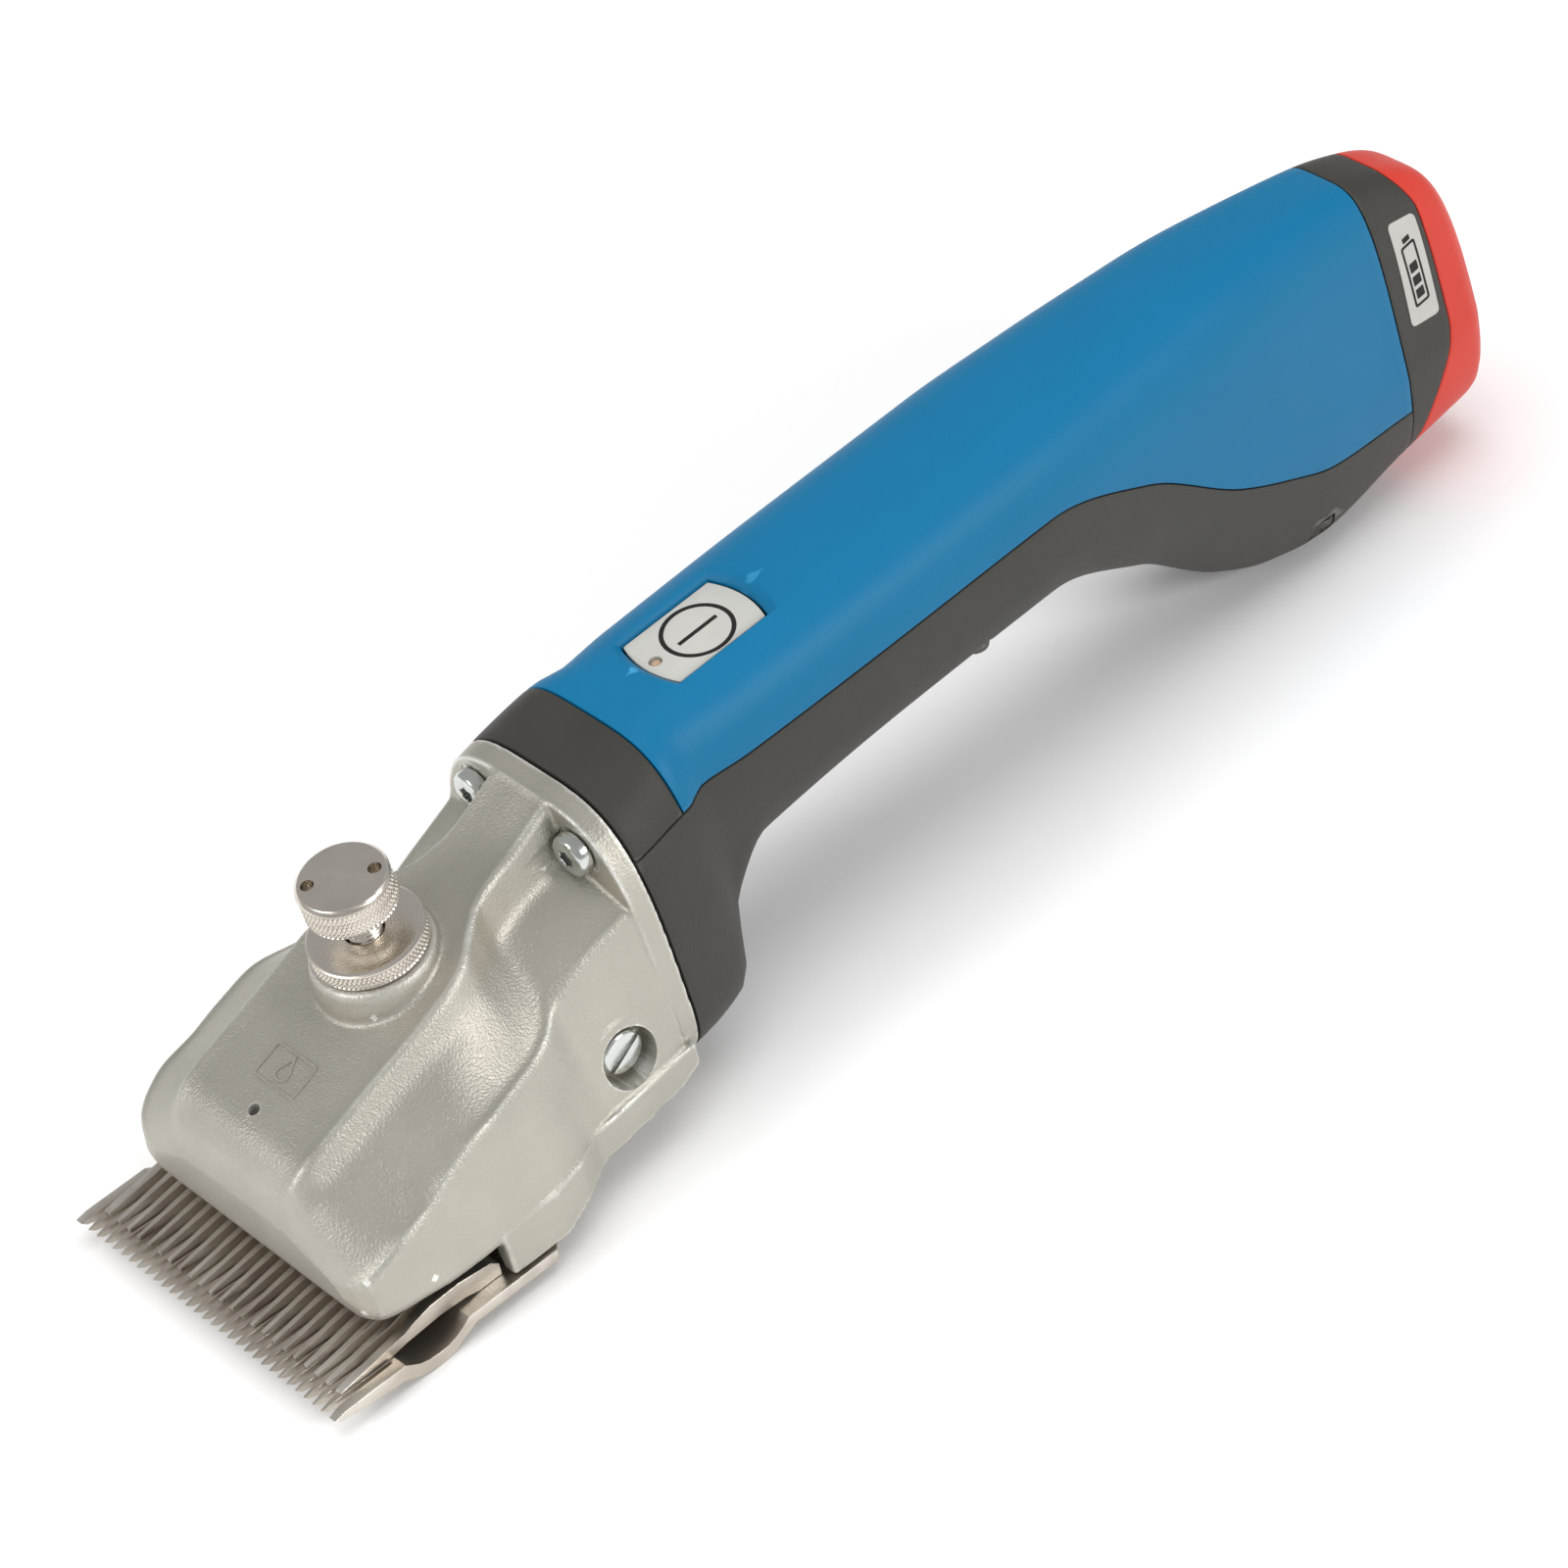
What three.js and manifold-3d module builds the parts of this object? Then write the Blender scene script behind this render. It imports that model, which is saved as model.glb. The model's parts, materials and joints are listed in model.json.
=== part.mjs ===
// Cordless sheep shears: a cast gear head with comb and cutter, a two-shell handle and a slide-in battery.
// Units are millimetres. The pieces are drawn in the handle's own frame: x runs back from the comb's tips
// towards the battery, y to the left, z up. At the end the whole is pitched so that it lies on a table.
import * as THREE from "three";
import { mergeVertices } from "three/addons/utils/BufferGeometryUtils.js";
import Module from "manifold-3d";

const wasm = await Module();
wasm.setup();

// ---------------------------------------------------------------- driving dimensions

const tablePitch = THREE.MathUtils.degToRad(2.65); // the rear rises by this much when it lies on a table
const overallLength = 335.1;
const gap = 0.3; // clearance between neighbouring pieces

// Blades. They lie in a frame of their own, pitched nose-up from the handle's.
const bladePitch = THREE.MathUtils.degToRad(3.3);
const bladeDrop = 0.85;
const combHalfWidth = 38.5;
const combTeeth = 31;
const combToothRoot = 15.5;
const cutterHalfWidth = 35.2;
const cutterTeeth = 23;
const cutterFront = 4.5;
const cutterToothRoot = 20;
const cutterRear = 42.3;
const drivePinY = 9;

// Drive.
const driveHeight = 20.5; // crank shaft axis above the frame's base plane
const motorHeight = 40.5;
const leverPivotX = 80;
const cutterPinX = 33;
const rollerX = 97.5;
const crankThrow = 1.4;
const rollerRadius = 5.5;

// Tension screw.
const knobX = 56.4;
const knobSeatZ = 52.8; // top face of the lock ring
const knobLean = THREE.MathUtils.degToRad(4.3);
const knobRadius = 8.9;
const ringRadius = 11.2;
const neckRadius = 3.4; // of the spindle where it passes through the lock ring

// Head casting.
const flangeX = 99.8;
const castWall = 3;
const headScrewY = 13.9;
const headScrewZ = 49.3;
const lowScrewY = 22;
const lowScrewZ = 6;
const sideScrewX = 83.7;
const sideScrewZ = 14.5;
const sideScrewSeat = 25.6; // distance of the screw head's seat from the middle plane

// Handle.
const shellWall = 2.4;
const shellFront = 100.2;
const collarRear = 112.9;
const shellRear = 309.5;
const shellScrewX = [190, 283];
const shellScrewY = [16.4, 14.2];
const padFront = 127.6;
const padRear = 152.4;
const padHalfWidth = 8;
const ledX = 130.2;

// Battery.
const insertFront = 268;
const cellLength = 48;
const cellRadius = 8.9;
const cellHeights = [-0.2, 17.9, 36];
const cellFront = 274;

// Handle sections: x, top, bottom, half width, height of the widest line, taper of the upper half,
// squareness above and below, height of the parting line.
const handleTable = [
  [96, 57.6, -3.6, 29.6, 13, 0.14, 3.8, 3.2, 47],
  [101, 59.2, -3.4, 29.4, 13, 0.14, 3.8, 3.2, 47.5],
  [114, 62, -1.4, 27.3, 14, 0.11, 3.8, 3.2, 49],
  [121, 62.8, 14, 22, 26, 0.05, 3.6, 2.8, 49],
  [132, 63, 21.4, 21.6, 36, 0.02, 3.3, 2.3, 48.5],
  [170, 63.4, 22.8, 21.7, 38, 0, 3.1, 2.25, 48],
  [210, 63.6, 22, 21.6, 38, 0, 3, 2.25, 47.5],
  [235, 63.2, 10.8, 21.2, 32, 0.02, 3.1, 2.6, 38],
  [258, 62.2, -9.4, 20.8, 24, 0.07, 3.3, 2.5, 20],
  [272, 61, -17.4, 20.3, 19, 0.13, 3.7, 2.4, 12],
  [285, 59.2, -20.3, 19.6, 15, 0.2, 4, 2.55, 6],
  [309, 54.8, -15.2, 17.9, 11, 0.3, 4.4, 3, 2],
  [322, 50.2, -13.2, 17.5, 11, 0.33, 4.5, 3.3, 0],
  [330, 45.6, -12.6, 17, 11, 0.33, 4.3, 3.3, 0],
  [335, 39, -10, 14.4, 11, 0.3, 3.2, 3, 0],
];

// Head sections: x, bottom, half width at the bottom, half width of the top face, height of the top face,
// ridge half width, ridge height, depth of the step between top face and side pocket.
const headTable = [
  [14.6, 8.5, 28, 12, 19, 26.5, 13, 0],
  [15.6, 5.8, 32, 15.5, 24.6, 30.6, 14, 2],
  [17.6, 4.8, 34.8, 17.4, 29, 33.6, 15.4, 3.6],
  [21, 4.6, 36, 18.2, 32.2, 35, 17.6, 4.4],
  [26, 4.4, 36.8, 18.3, 34.1, 35.6, 20, 4.6],
  [33, 4.2, 37.8, 18.3, 36.4, 35.2, 22, 4.6],
  [40, 4.2, 38.2, 18.3, 38.7, 34.5, 25.2, 4.6],
  [50, 4.2, 38.3, 18.4, 41.9, 33.8, 28, 4.6],
  [57, 4.2, 38, 18.2, 44.2, 31.9, 28, 4.8],
  [64, 4.2, 36, 16.6, 46.3, 29.9, 28, 5.5],
  [70, 4.2, 33.4, 12.6, 48, 27.8, 29.2, 7],
  [76, 4.2, 32.4, 9, 49.6, 24.6, 32.6, 8.5],
  [84, 4.2, 32, 8, 51.8, 24.8, 36, 9],
  [95.4, 6, 31, 8, 57.2, 25.8, 39.5, 12],
];

// ---------------------------------------------------------------- helpers

// A value table read at any x: each column runs smoothly and without overshoot from row to row.
function readTable(table, x) {
  const last = table.length - 1;
  let i = 0;
  while (i < last - 1 && x > table[i + 1][0]) i++;
  const span = table[i + 1][0] - table[i][0];
  const t = Math.min(1, Math.max(0, (x - table[i][0]) / span));
  const grade = (k, c) => (table[k + 1][c] - table[k][c]) / (table[k + 1][0] - table[k][0]);
  const slope = (k, c) => {
    if (k === 0 || k === last) return grade(Math.min(k, last - 1), c);
    const before = grade(k - 1, c);
    const after = grade(k, c);
    return before * after <= 0 ? 0 : (2 * before * after) / (before + after);
  };
  return table[i].map((start, c) => {
    const end = table[i + 1][c];
    const t2 = t * t;
    const t3 = t2 * t;
    const pull = span * ((t3 - 2 * t2 + t) * slope(i, c) + (t3 - t2) * slope(i + 1, c));
    return (2 * t3 - 3 * t2 + 1) * start + (3 * t2 - 2 * t3) * end + pull;
  });
}

// Any closed geometry as a manifold-3d solid whose faces look outwards.
function solid(geometry) {
  const source = geometry.index ? geometry.toNonIndexed() : geometry;
  const bare = new THREE.BufferGeometry().setAttribute("position", source.getAttribute("position"));
  const merged = mergeVertices(bare, 1e-4);
  const points = Float32Array.from(merged.attributes.position.array);
  const corner = (i) => new THREE.Vector3().fromArray(points, 3 * i);
  const triangles = [];
  let volume = 0;
  for (let i = 0; i < merged.index.count; i += 3) {
    const [a, b, c] = merged.index.array.slice(i, i + 3);
    if (a === b || b === c || c === a) continue;
    triangles.push([a, b, c]);
    volume += corner(a).dot(corner(b).cross(corner(c)));
  }
  const faces = volume < 0 ? triangles.map(([a, b, c]) => [a, c, b]) : triangles;
  const triVerts = Uint32Array.from(faces.flat());
  return new wasm.Manifold(new wasm.Mesh({ numProp: 3, vertProperties: points, triVerts }));
}

function joined(...solids) {
  return solids.flat().reduce((all, one) => all.add(one));
}

function cutBy(body, ...tools) {
  return tools.flat().reduce((left, tool) => left.subtract(tool), body);
}

function box(x0, x1, y0, y1, z0, z1) {
  const geometry = new THREE.BoxGeometry(x1 - x0, y1 - y0, z1 - z0);
  return solid(geometry.translate((x0 + x1) / 2, (y0 + y1) / 2, (z0 + z1) / 2));
}

// A box on one side of the middle plane, from y = near to y = far on that side.
function mirroredBox(sign, x0, x1, near, far, z0, z1) {
  const [low, high] = sign > 0 ? [near, far] : [-far, -near];
  return box(x0, x1, low, high, z0, z1);
}

// A round bar between two points.
function rod(from, to, radius, sides = 20, endRadius = radius) {
  const a = new THREE.Vector3(...from);
  const b = new THREE.Vector3(...to);
  const geometry = new THREE.CylinderGeometry(endRadius, radius, a.distanceTo(b), sides);
  const direction = b.clone().sub(a).normalize();
  const turn = new THREE.Quaternion().setFromUnitVectors(new THREE.Vector3(0, 1, 0), direction);
  geometry.applyQuaternion(turn);
  return solid(geometry.translate((a.x + b.x) / 2, (a.y + b.y) / 2, (a.z + b.z) / 2));
}

// A straight-sided body: an outline of [x, z] pairs run across from y0 to y1.
function slabAcross(outline, y0, y1) {
  const shape = new THREE.Shape(outline.map(([x, z]) => new THREE.Vector2(x, z)));
  const geometry = new THREE.ExtrudeGeometry(shape, { depth: y1 - y0, bevelEnabled: false });
  return solid(geometry.rotateX(Math.PI / 2).translate(0, y1, 0));
}

// The same with an outline of [x, y] pairs run up from z0 to z1.
function slabUp(outline, z0, z1) {
  const shape = new THREE.Shape(outline.map(([x, y]) => new THREE.Vector2(x, y)));
  const geometry = new THREE.ExtrudeGeometry(shape, { depth: z1 - z0, bevelEnabled: false });
  return solid(geometry.translate(0, 0, z0));
}

// A turned body about the z axis from a closed profile of [radius, height] pairs.
function turned(profile, sides = 28) {
  const closed = [...profile, profile[0]].map(([r, h]) => new THREE.Vector2(r, h));
  return solid(new THREE.LatheGeometry(closed, sides).rotateX(Math.PI / 2));
}

// A skin over rings of points, closed by a flat cap at each end.
function loft(rings) {
  const points = rings.flat();
  const count = rings[0].length;
  const faces = [];
  for (let r = 0; r < rings.length - 1; r++) {
    for (let i = 0; i < count; i++) {
      const j = (i + 1) % count;
      const [a, b, c, d] = [r * count + i, r * count + j, (r + 1) * count + j, (r + 1) * count + i];
      faces.push([a, b, c], [a, c, d]);
    }
  }
  for (const start of [0, (rings.length - 1) * count]) {
    const cap = points.slice(start, start + count).map(([, y, z]) => new THREE.Vector2(y, z));
    for (const [a, b, c] of THREE.ShapeUtils.triangulateShape(cap, [])) {
      faces.push(start === 0 ? [a, c, b] : [start + a, start + b, start + c]);
    }
  }
  const corners = faces.flatMap((face) => face.flatMap((i) => points[i]));
  const attribute = new THREE.Float32BufferAttribute(corners, 3);
  return solid(new THREE.BufferGeometry().setAttribute("position", attribute));
}

// One cross-section of the handle, drawn in by a given inset.
function handleRing(x, inset = 0, count = 28) {
  const [, top, bottom, half, widest, taper, squareUp, squareDown] = readTable(handleTable, x);
  const ring = [];
  for (let i = 0; i < count; i++) {
    const angle = (2 * Math.PI * (i + 0.5)) / count;
    const c = Math.cos(angle);
    const s = Math.sin(angle);
    const power = s >= 0 ? squareUp : squareDown;
    const reach = (Math.abs(c) ** power + Math.abs(s) ** power) ** (-1 / power);
    const across = c * reach;
    const up = s * reach;
    const rise = up >= 0 ? top - inset - widest : widest - bottom - inset;
    ring.push([x, (half - inset) * across * (1 - taper * Math.max(0, up)), widest + up * rise]);
  }
  return ring;
}

function handleBody(xs, inset = 0, count = 28) {
  return loft(xs.map((x) => handleRing(x, inset, count)));
}

// One cross-section of the head casting, drawn in by a given inset; "floor" replaces the bottom height.
function headRing(x, inset = 0, floor = null) {
  const [, bottom, low, face, top, ridge, ridgeUp, step] = readTable(headTable, x);
  const base = floor === null ? bottom + inset : floor;
  const right = [
    [low - inset - 2.5, base],
    [low - inset, base + 2.5],
    [(low + ridge) / 2 - inset, (base + ridgeUp) / 2 + 1],
    [ridge - inset, ridgeUp - inset / 2],
    [ridge - inset - 2, ridgeUp + 1.2 - inset],
    [face + (ridge - face) * 0.35 - inset / 2, top - step - (top - step - ridgeUp) * 0.25 - inset],
    [face + 2 - inset / 2, top - step - inset],
    [face - inset / 2, top - 1 - inset],
    [face - 2.5 - inset / 2, top - inset],
  ];
  const left = right.map(([y, z]) => [-y, z]).reverse();
  return [...right, ...left].map(([y, z]) => [x, y, z]);
}

// Places a solid drawn in the blades' frame into the handle's frame.
function onBlades(body) {
  return body.rotate([0, THREE.MathUtils.radToDeg(bladePitch), 0]).translate([0, 0, -bladeDrop]);
}

// Places a solid drawn about the tension screw's axis, z = 0 at the top of the lock ring.
function onTensionAxis(body) {
  return body.rotate([0, -THREE.MathUtils.radToDeg(knobLean), 0]).translate([knobX, 0, knobSeatZ]);
}

const group = new THREE.Group();
group.name = "sheep_shears";

const finishes = {
  ground_steel: { color: 0xb2a99f, roughness: 0.32, metalness: 1 },
  cast_alloy: { color: 0xa6a298, roughness: 0.55, metalness: 0.7 },
  zinc: { color: 0xc4c8c6, roughness: 0.3, metalness: 1 },
  turned_steel: { color: 0xc0b4a8, roughness: 0.28, metalness: 1 },
  dark_steel: { color: 0x6c6a66, roughness: 0.45, metalness: 1 },
  brass: { color: 0xb8975a, roughness: 0.4, metalness: 1 },
  black_plastic: { color: 0x2f2f2c, roughness: 0.6, metalness: 0 },
  blue_plastic: { color: 0x1277ad, roughness: 0.45, metalness: 0 },
  red_plastic: { color: 0xe4553f, roughness: 0.5, metalness: 0 },
  pale_plastic: { color: 0xcfccc6, roughness: 0.5, metalness: 0 },
  board_green: { color: 0x1f5a3a, roughness: 0.6, metalness: 0 },
  cell_wrap: { color: 0x4a6e9c, roughness: 0.5, metalness: 0 },
  led_lens: { color: 0xd8d2c0, roughness: 0.2, metalness: 0 },
};

// Adds a solid to the object as a named mesh.
function piece(name, body, finish) {
  const made = body.getMesh();
  const geometry = new THREE.BufferGeometry();
  geometry.setAttribute("position", new THREE.BufferAttribute(made.vertProperties.slice(), 3));
  geometry.setIndex(new THREE.BufferAttribute(made.triVerts.slice(), 1));
  const mesh = new THREE.Mesh(geometry, new THREE.MeshStandardMaterial(finishes[finish]));
  mesh.name = name;
  group.add(mesh);
}

const sides = [
  { name: "left", sign: 1 },
  { name: "right", sign: -1 },
];

// ---------------------------------------------------------------- comb and cutter

const combProfile = [
  [0, -0.5],
  [1.2, -1.5],
  [6.8, -2.5],
  [15.3, -3.2],
  [21, -5.6],
  [27.5, -5.2],
  [33, -2.4],
  [54, -2.4],
  [55, -1.6],
  [55, -0.4],
  [54.4, 0],
  [31.5, 0],
  [28, -2.2],
  [24, -3],
  [19.5, -2],
  [16.5, 0],
  [2.6, 0],
];
const combPitch = (2 * combHalfWidth - 3) / (combTeeth - 1);
const combGaps = [];
for (let i = 0; i < combTeeth - 1; i++) {
  const y = (i - (combTeeth - 2) / 2) * combPitch;
  const wedge = [
    [-1, y - 1.1],
    [3.5, y - 0.62],
    [combToothRoot, y - 0.38],
    [combToothRoot, y + 0.38],
    [3.5, y + 0.62],
    [-1, y + 1.1],
  ];
  combGaps.push(slabUp(wedge, -8, 2));
}
const combScrewX = 50;
const combScrewY = 19;
const combBlank = slabAcross(combProfile, -combHalfWidth, combHalfWidth);
const combCorners = sides.map(({ sign }) =>
  slabUp([[51.5, sign * 40], [56, sign * 40], [56, sign * 34.5]], -8, 4),
);
const combHoles = sides.map(({ sign }) =>
  rod([combScrewX, sign * combScrewY, -8], [combScrewX, sign * combScrewY, 4], 2.8, 12),
);
piece("comb", onBlades(cutBy(combBlank, joined(combGaps), combCorners, combHoles)), "ground_steel");

const cutterProfile = [
  [cutterFront, 0.15],
  [16, 0.15],
  [20, 0.8],
  [28, 1.3],
  [34, 0.9],
  [37, 0.15],
  [cutterRear, 0.15],
  [cutterRear, 2.8],
  [40.6, 4.2],
  [33, 5.2],
  [26.4, 5],
  [18.1, 2.9],
  [cutterFront, 1],
];
const cutterPitch = (2 * cutterHalfWidth - 2.4) / (cutterTeeth - 1);
const cutterGaps = [];
for (let i = 0; i < cutterTeeth - 1; i++) {
  const y = (i - (cutterTeeth - 2) / 2) * cutterPitch;
  const wedge = [
    [cutterFront - 1, y - 1.35],
    [cutterToothRoot, y - 0.3],
    [cutterToothRoot, y + 0.3],
    [cutterFront - 1, y + 1.35],
  ];
  cutterGaps.push(slabUp(wedge, -2, 8));
}
// The lever's prongs swing in slots: their ends are round and their sides straight.
const slotReach = 0.9;
const cutterSlots = sides.map(({ sign }) => {
  const y = sign * drivePinY;
  const ends = [-slotReach, slotReach].map((shift) =>
    rod([cutterPinX + shift, y, -1], [cutterPinX + shift, y, 8], 2.5, 12),
  );
  return joined(ends, box(cutterPinX - slotReach, cutterPinX + slotReach, y - 2.4, y + 2.4, -1, 8));
});
const cutterBlank = slabAcross(cutterProfile, -cutterHalfWidth, cutterHalfWidth);
piece("cutter", onBlades(cutBy(cutterBlank, joined(cutterGaps), cutterSlots)), "ground_steel");

// ---------------------------------------------------------------- head casting

const headXs = headTable.map(([x]) => x);
const headOuter = loft(headXs.map((x) => headRing(x)));
const flangePlate = handleBody([95.4, flangeX]);
// Behind the cutter the side walls reach down to the comb; the cheek outlines are seen from the side.
const cheekOutline = [
  [43.2, 8],
  [43.2, -2.6],
  [56.4, -3.3],
  [64, -1.2],
  [72, 0.2],
  [92, 0.6],
  [97, 3],
  [97, 8],
];
const cheekPlan = [
  [43, 38.2],
  [56.4, 38.2],
  [64, 36.4],
  [70, 33.4],
  [98, 31.4],
];
const cheekTrim = slabUp([...cheekPlan, ...cheekPlan.map(([x, y]) => [x, -y]).reverse()], -5, 9);
const cheeks = slabAcross(cheekOutline, -39, 39).intersect(cheekTrim);
const bossProfile = [
  [0, -16],
  [12.8, -16],
  [12, -5.6],
  [11, -4.5],
  [0, -4.5],
];
const headSolid = joined(headOuter, flangePlate, cheeks, onTensionAxis(turned(bossProfile)));

const cavityXs = [19, 22, 28, 34, 40, 50, 57, 64, 70, 76, 84, 94];
const cavity = loft(cavityXs.map((x) => headRing(x, castWall, x < 45 ? -12 : 1.4)));
const cavityMouth = loft([94, 101].map((x) => handleRing(x, 5.5)));
const mouthTrim = box(93, 101, -22, 22, 1, 37);
const underOpening = box(21, 45.5, -33.5, 33.5, -12, 6);
// A round bar on the side screw's axis between two distances from the middle plane.
function sideRod(sign, from, to, radius, count) {
  return rod([sideScrewX, sign * from, sideScrewZ], [sideScrewX, sign * to, sideScrewZ], radius, count);
}
const recess = (sign) => sideRod(sign, 40, sideScrewSeat, 6, 16);
const recessPad = (sign) => sideRod(sign, 28.6, 24, 8, 16);
const sideBore = (sign) => sideRod(sign, 32, 20, 2.9, 12);
const headBores = sides.flatMap(({ sign }) => [
  rod([92, sign * headScrewY, headScrewZ], [101, sign * headScrewY, headScrewZ], 2.5, 12),
  rod([92, sign * lowScrewY, lowScrewZ], [101, sign * lowScrewY, lowScrewZ], 2.5, 12),
  rod([86, sign * lowScrewY, lowScrewZ], [95.3, sign * lowScrewY, lowScrewZ], 5.2, 14),
  rod([84, sign * headScrewY, headScrewZ], [95.3, sign * headScrewY, headScrewZ], 5.2, 14),
]);
const tensionBore = onTensionAxis(turned([[0, -30], [5.3, -30], [5.3, 2], [0, 2]], 16));
const oilHole = rod([25, 0, 20], [23.6, 0, 40], 1.2, 8);
const combBar = box(46, 57, -30, 30, -3.4, 4).intersect(cheekTrim);
const combThreads = sides.map(({ sign }) =>
  onBlades(rod([combScrewX, sign * combScrewY, -2], [combScrewX, sign * combScrewY, 5.6], 2.3, 12)),
);
const combLand = onBlades(box(43, 60, -42, 42, -6, gap));
let head = cutBy(headSolid, cavity, cavityMouth.intersect(mouthTrim), underOpening);
head = joined(head, combBar, sides.map(({ sign }) => recessPad(sign)));
head = cutBy(
  head,
  sides.flatMap(({ sign }) => [recess(sign), sideBore(sign)]),
  headBores,
  tensionBore,
  oilHole,
  combThreads,
  combLand,
);
piece("head_casting", head, "cast_alloy");

// Screws that are turned about z with the head's underside at z = 0.
function panScrew(headRadius, headHeight, shankRadius, shankLength, socketRadius) {
  const profile = [
    [0, -shankLength],
    [shankRadius, -shankLength],
    [shankRadius, 0],
    [headRadius, 0],
    [headRadius, headHeight * 0.6],
    [headRadius * 0.8, headHeight],
    [0, headHeight],
  ];
  const socketFloor = headHeight * 0.45;
  const socket = turned([[0, socketFloor], [socketRadius, socketFloor], [socketRadius, 9], [0, 9]], 6);
  return cutBy(turned(profile, 12), socket);
}

for (const { name, sign } of sides) {
  const forward = panScrew(4.4, 3, 2.2, 5, 1.7).rotate([0, -90, 0]);
  piece("head_screw_upper_" + name, forward.translate([95, sign * headScrewY, headScrewZ]), "zinc");
  piece("head_screw_lower_" + name, forward.translate([95, sign * lowScrewY, lowScrewZ]), "zinc");
  const down = panScrew(4.2, 2.2, 2, 7, 1.6).rotate([180, 0, 0]);
  piece("comb_screw_" + name, onBlades(down.translate([combScrewX, sign * combScrewY, -2.7])), "zinc");
  const slotted = cutBy(
    turned([[0, -6.6], [2.6, -6.6], [2.6, 0], [4.6, 0], [4.6, 2.2], [4.1, 2.6], [0, 2.6]], 16),
    box(-6, 6, -0.6, 0.6, 1.4, 4).rotate([0, 0, 30]),
  );
  const sideways = slotted.rotate([-90 * sign, 0, 0]);
  const seatY = sign * (sideScrewSeat + 0.1);
  piece("side_screw_" + name, sideways.translate([sideScrewX, seatY, sideScrewZ]), "zinc");
}

// ---------------------------------------------------------------- tension screw

const knobTop = 14.1;
const knobProfile = [
  [0, -23],
  [5, -23],
  [5, -6.8],
  [neckRadius, -6.5],
  [neckRadius, 4.6],
  [5.2, 6.2],
  [knobRadius - 0.6, 7],
  [knobRadius, 7.6],
  [knobRadius, knobTop - 0.5],
  [knobRadius - 0.5, knobTop],
  [0, knobTop],
];
const spannerHoles = sides.map(({ sign }) =>
  rod([-5 * sign, 3.7 * sign, knobTop - 3.5], [-5 * sign, 3.7 * sign, knobTop + 2], 1.3, 10),
);
const pinSocket = turned([[0, -30], [2.9, -30], [2.9, -9.6], [0, -9.6]], 14);
piece("tension_knob", onTensionAxis(cutBy(turned(knobProfile, 28), spannerHoles, pinSocket)), "turned_steel");

const ringProfile = [
  [neckRadius + gap, -4.2],
  [ringRadius - 0.5, -4.2],
  [ringRadius, -3.7],
  [ringRadius, -0.5],
  [ringRadius - 0.5, 0],
  [neckRadius + gap, 0],
];
piece("lock_ring", onTensionAxis(turned(ringProfile, 28)), "turned_steel");

const capProfile = [
  [2.9, -24.2],
  [4.9, -24.2],
  [4.9, -23.1],
  [2.9, -23.1],
];
piece("spring_cap", onTensionAxis(turned(capProfile, 16)), "turned_steel");

const pinBottom = -36.6;
const pinProfile = [
  [0, pinBottom],
  [1.6, pinBottom],
  [2.6, pinBottom + 1.2],
  [2.6, pinBottom + 3],
  [3.4, pinBottom + 3.2],
  [3.4, pinBottom + 4.6],
  [2.4, pinBottom + 5],
  [2.4, -12],
  [0, -12],
];
piece("pressure_pin", onTensionAxis(turned(pinProfile, 14)), "dark_steel");

// A coil about the tension axis between the pressure pin's collar and the spindle's end.
class Coil extends THREE.Curve {
  constructor(radius, bottom, height, turns) {
    super();
    Object.assign(this, { radius, bottom, height, turns });
  }

  getPoint(t, target = new THREE.Vector3()) {
    const angle = 2 * Math.PI * this.turns * t;
    const rise = this.bottom + this.height * t;
    return target.set(this.radius * Math.cos(angle), this.radius * Math.sin(angle), rise);
  }
}

function coil(radius, wire, bottom, top, turns, steps) {
  const path = new Coil(radius, bottom + wire, top - bottom - 2 * wire, turns);
  const round = new THREE.Shape();
  round.absarc(0, 0, wire, 0, 2 * Math.PI);
  const options = { steps, bevelEnabled: false, extrudePath: path, curveSegments: 2 };
  return solid(new THREE.ExtrudeGeometry(round, options));
}
piece("pressure_spring", onTensionAxis(coil(3.9, 0.5, pinBottom + 4.9, -24.4, 3.5, 34)), "dark_steel");

// ---------------------------------------------------------------- swing lever

const leverPlan = [
  [28, 0],
  [29.5, 12],
  [37, 13],
  [46, 6.5],
  [62, 6],
  [72, 8],
  [80, 9],
  [86, 9],
  [91, 12.6],
  [101, 12.6],
  [101, 9.1],
  [92, 9.1],
  [89.5, 5.5],
];
const leverOutline = [...leverPlan.slice(1), ...leverPlan.slice(1).map(([x, y]) => [x, -y]).reverse()];
const leverBar = slabUp(leverOutline, 10.2, 15.4);
const forkArms = sides.map(({ sign }) => mirroredBox(sign, 92.4, 100.4, 9.1, 12.6, 10.2, 24));
const prongX = cutterPinX + 0.3;
const driveProngs = sides.map(({ sign }) =>
  rod([prongX, sign * drivePinY, 1.1], [prongX, sign * drivePinY, 12], 2.1, 12),
);
const pressureSeat = rod([54.2, 0, 12], [54.2, 0, 16], 5.4, 16);
const pivotHub = rod([leverPivotX, 0, 7.4], [leverPivotX, 0, 18.4], 7.5, 18);
const hubBore = rod([leverPivotX, 0, 0], [leverPivotX, 0, 30], 4.3, 16);
const lever = cutBy(joined(leverBar, forkArms, driveProngs, pressureSeat, pivotHub), hubBore);
piece("swing_lever", lever, "dark_steel");

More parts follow.
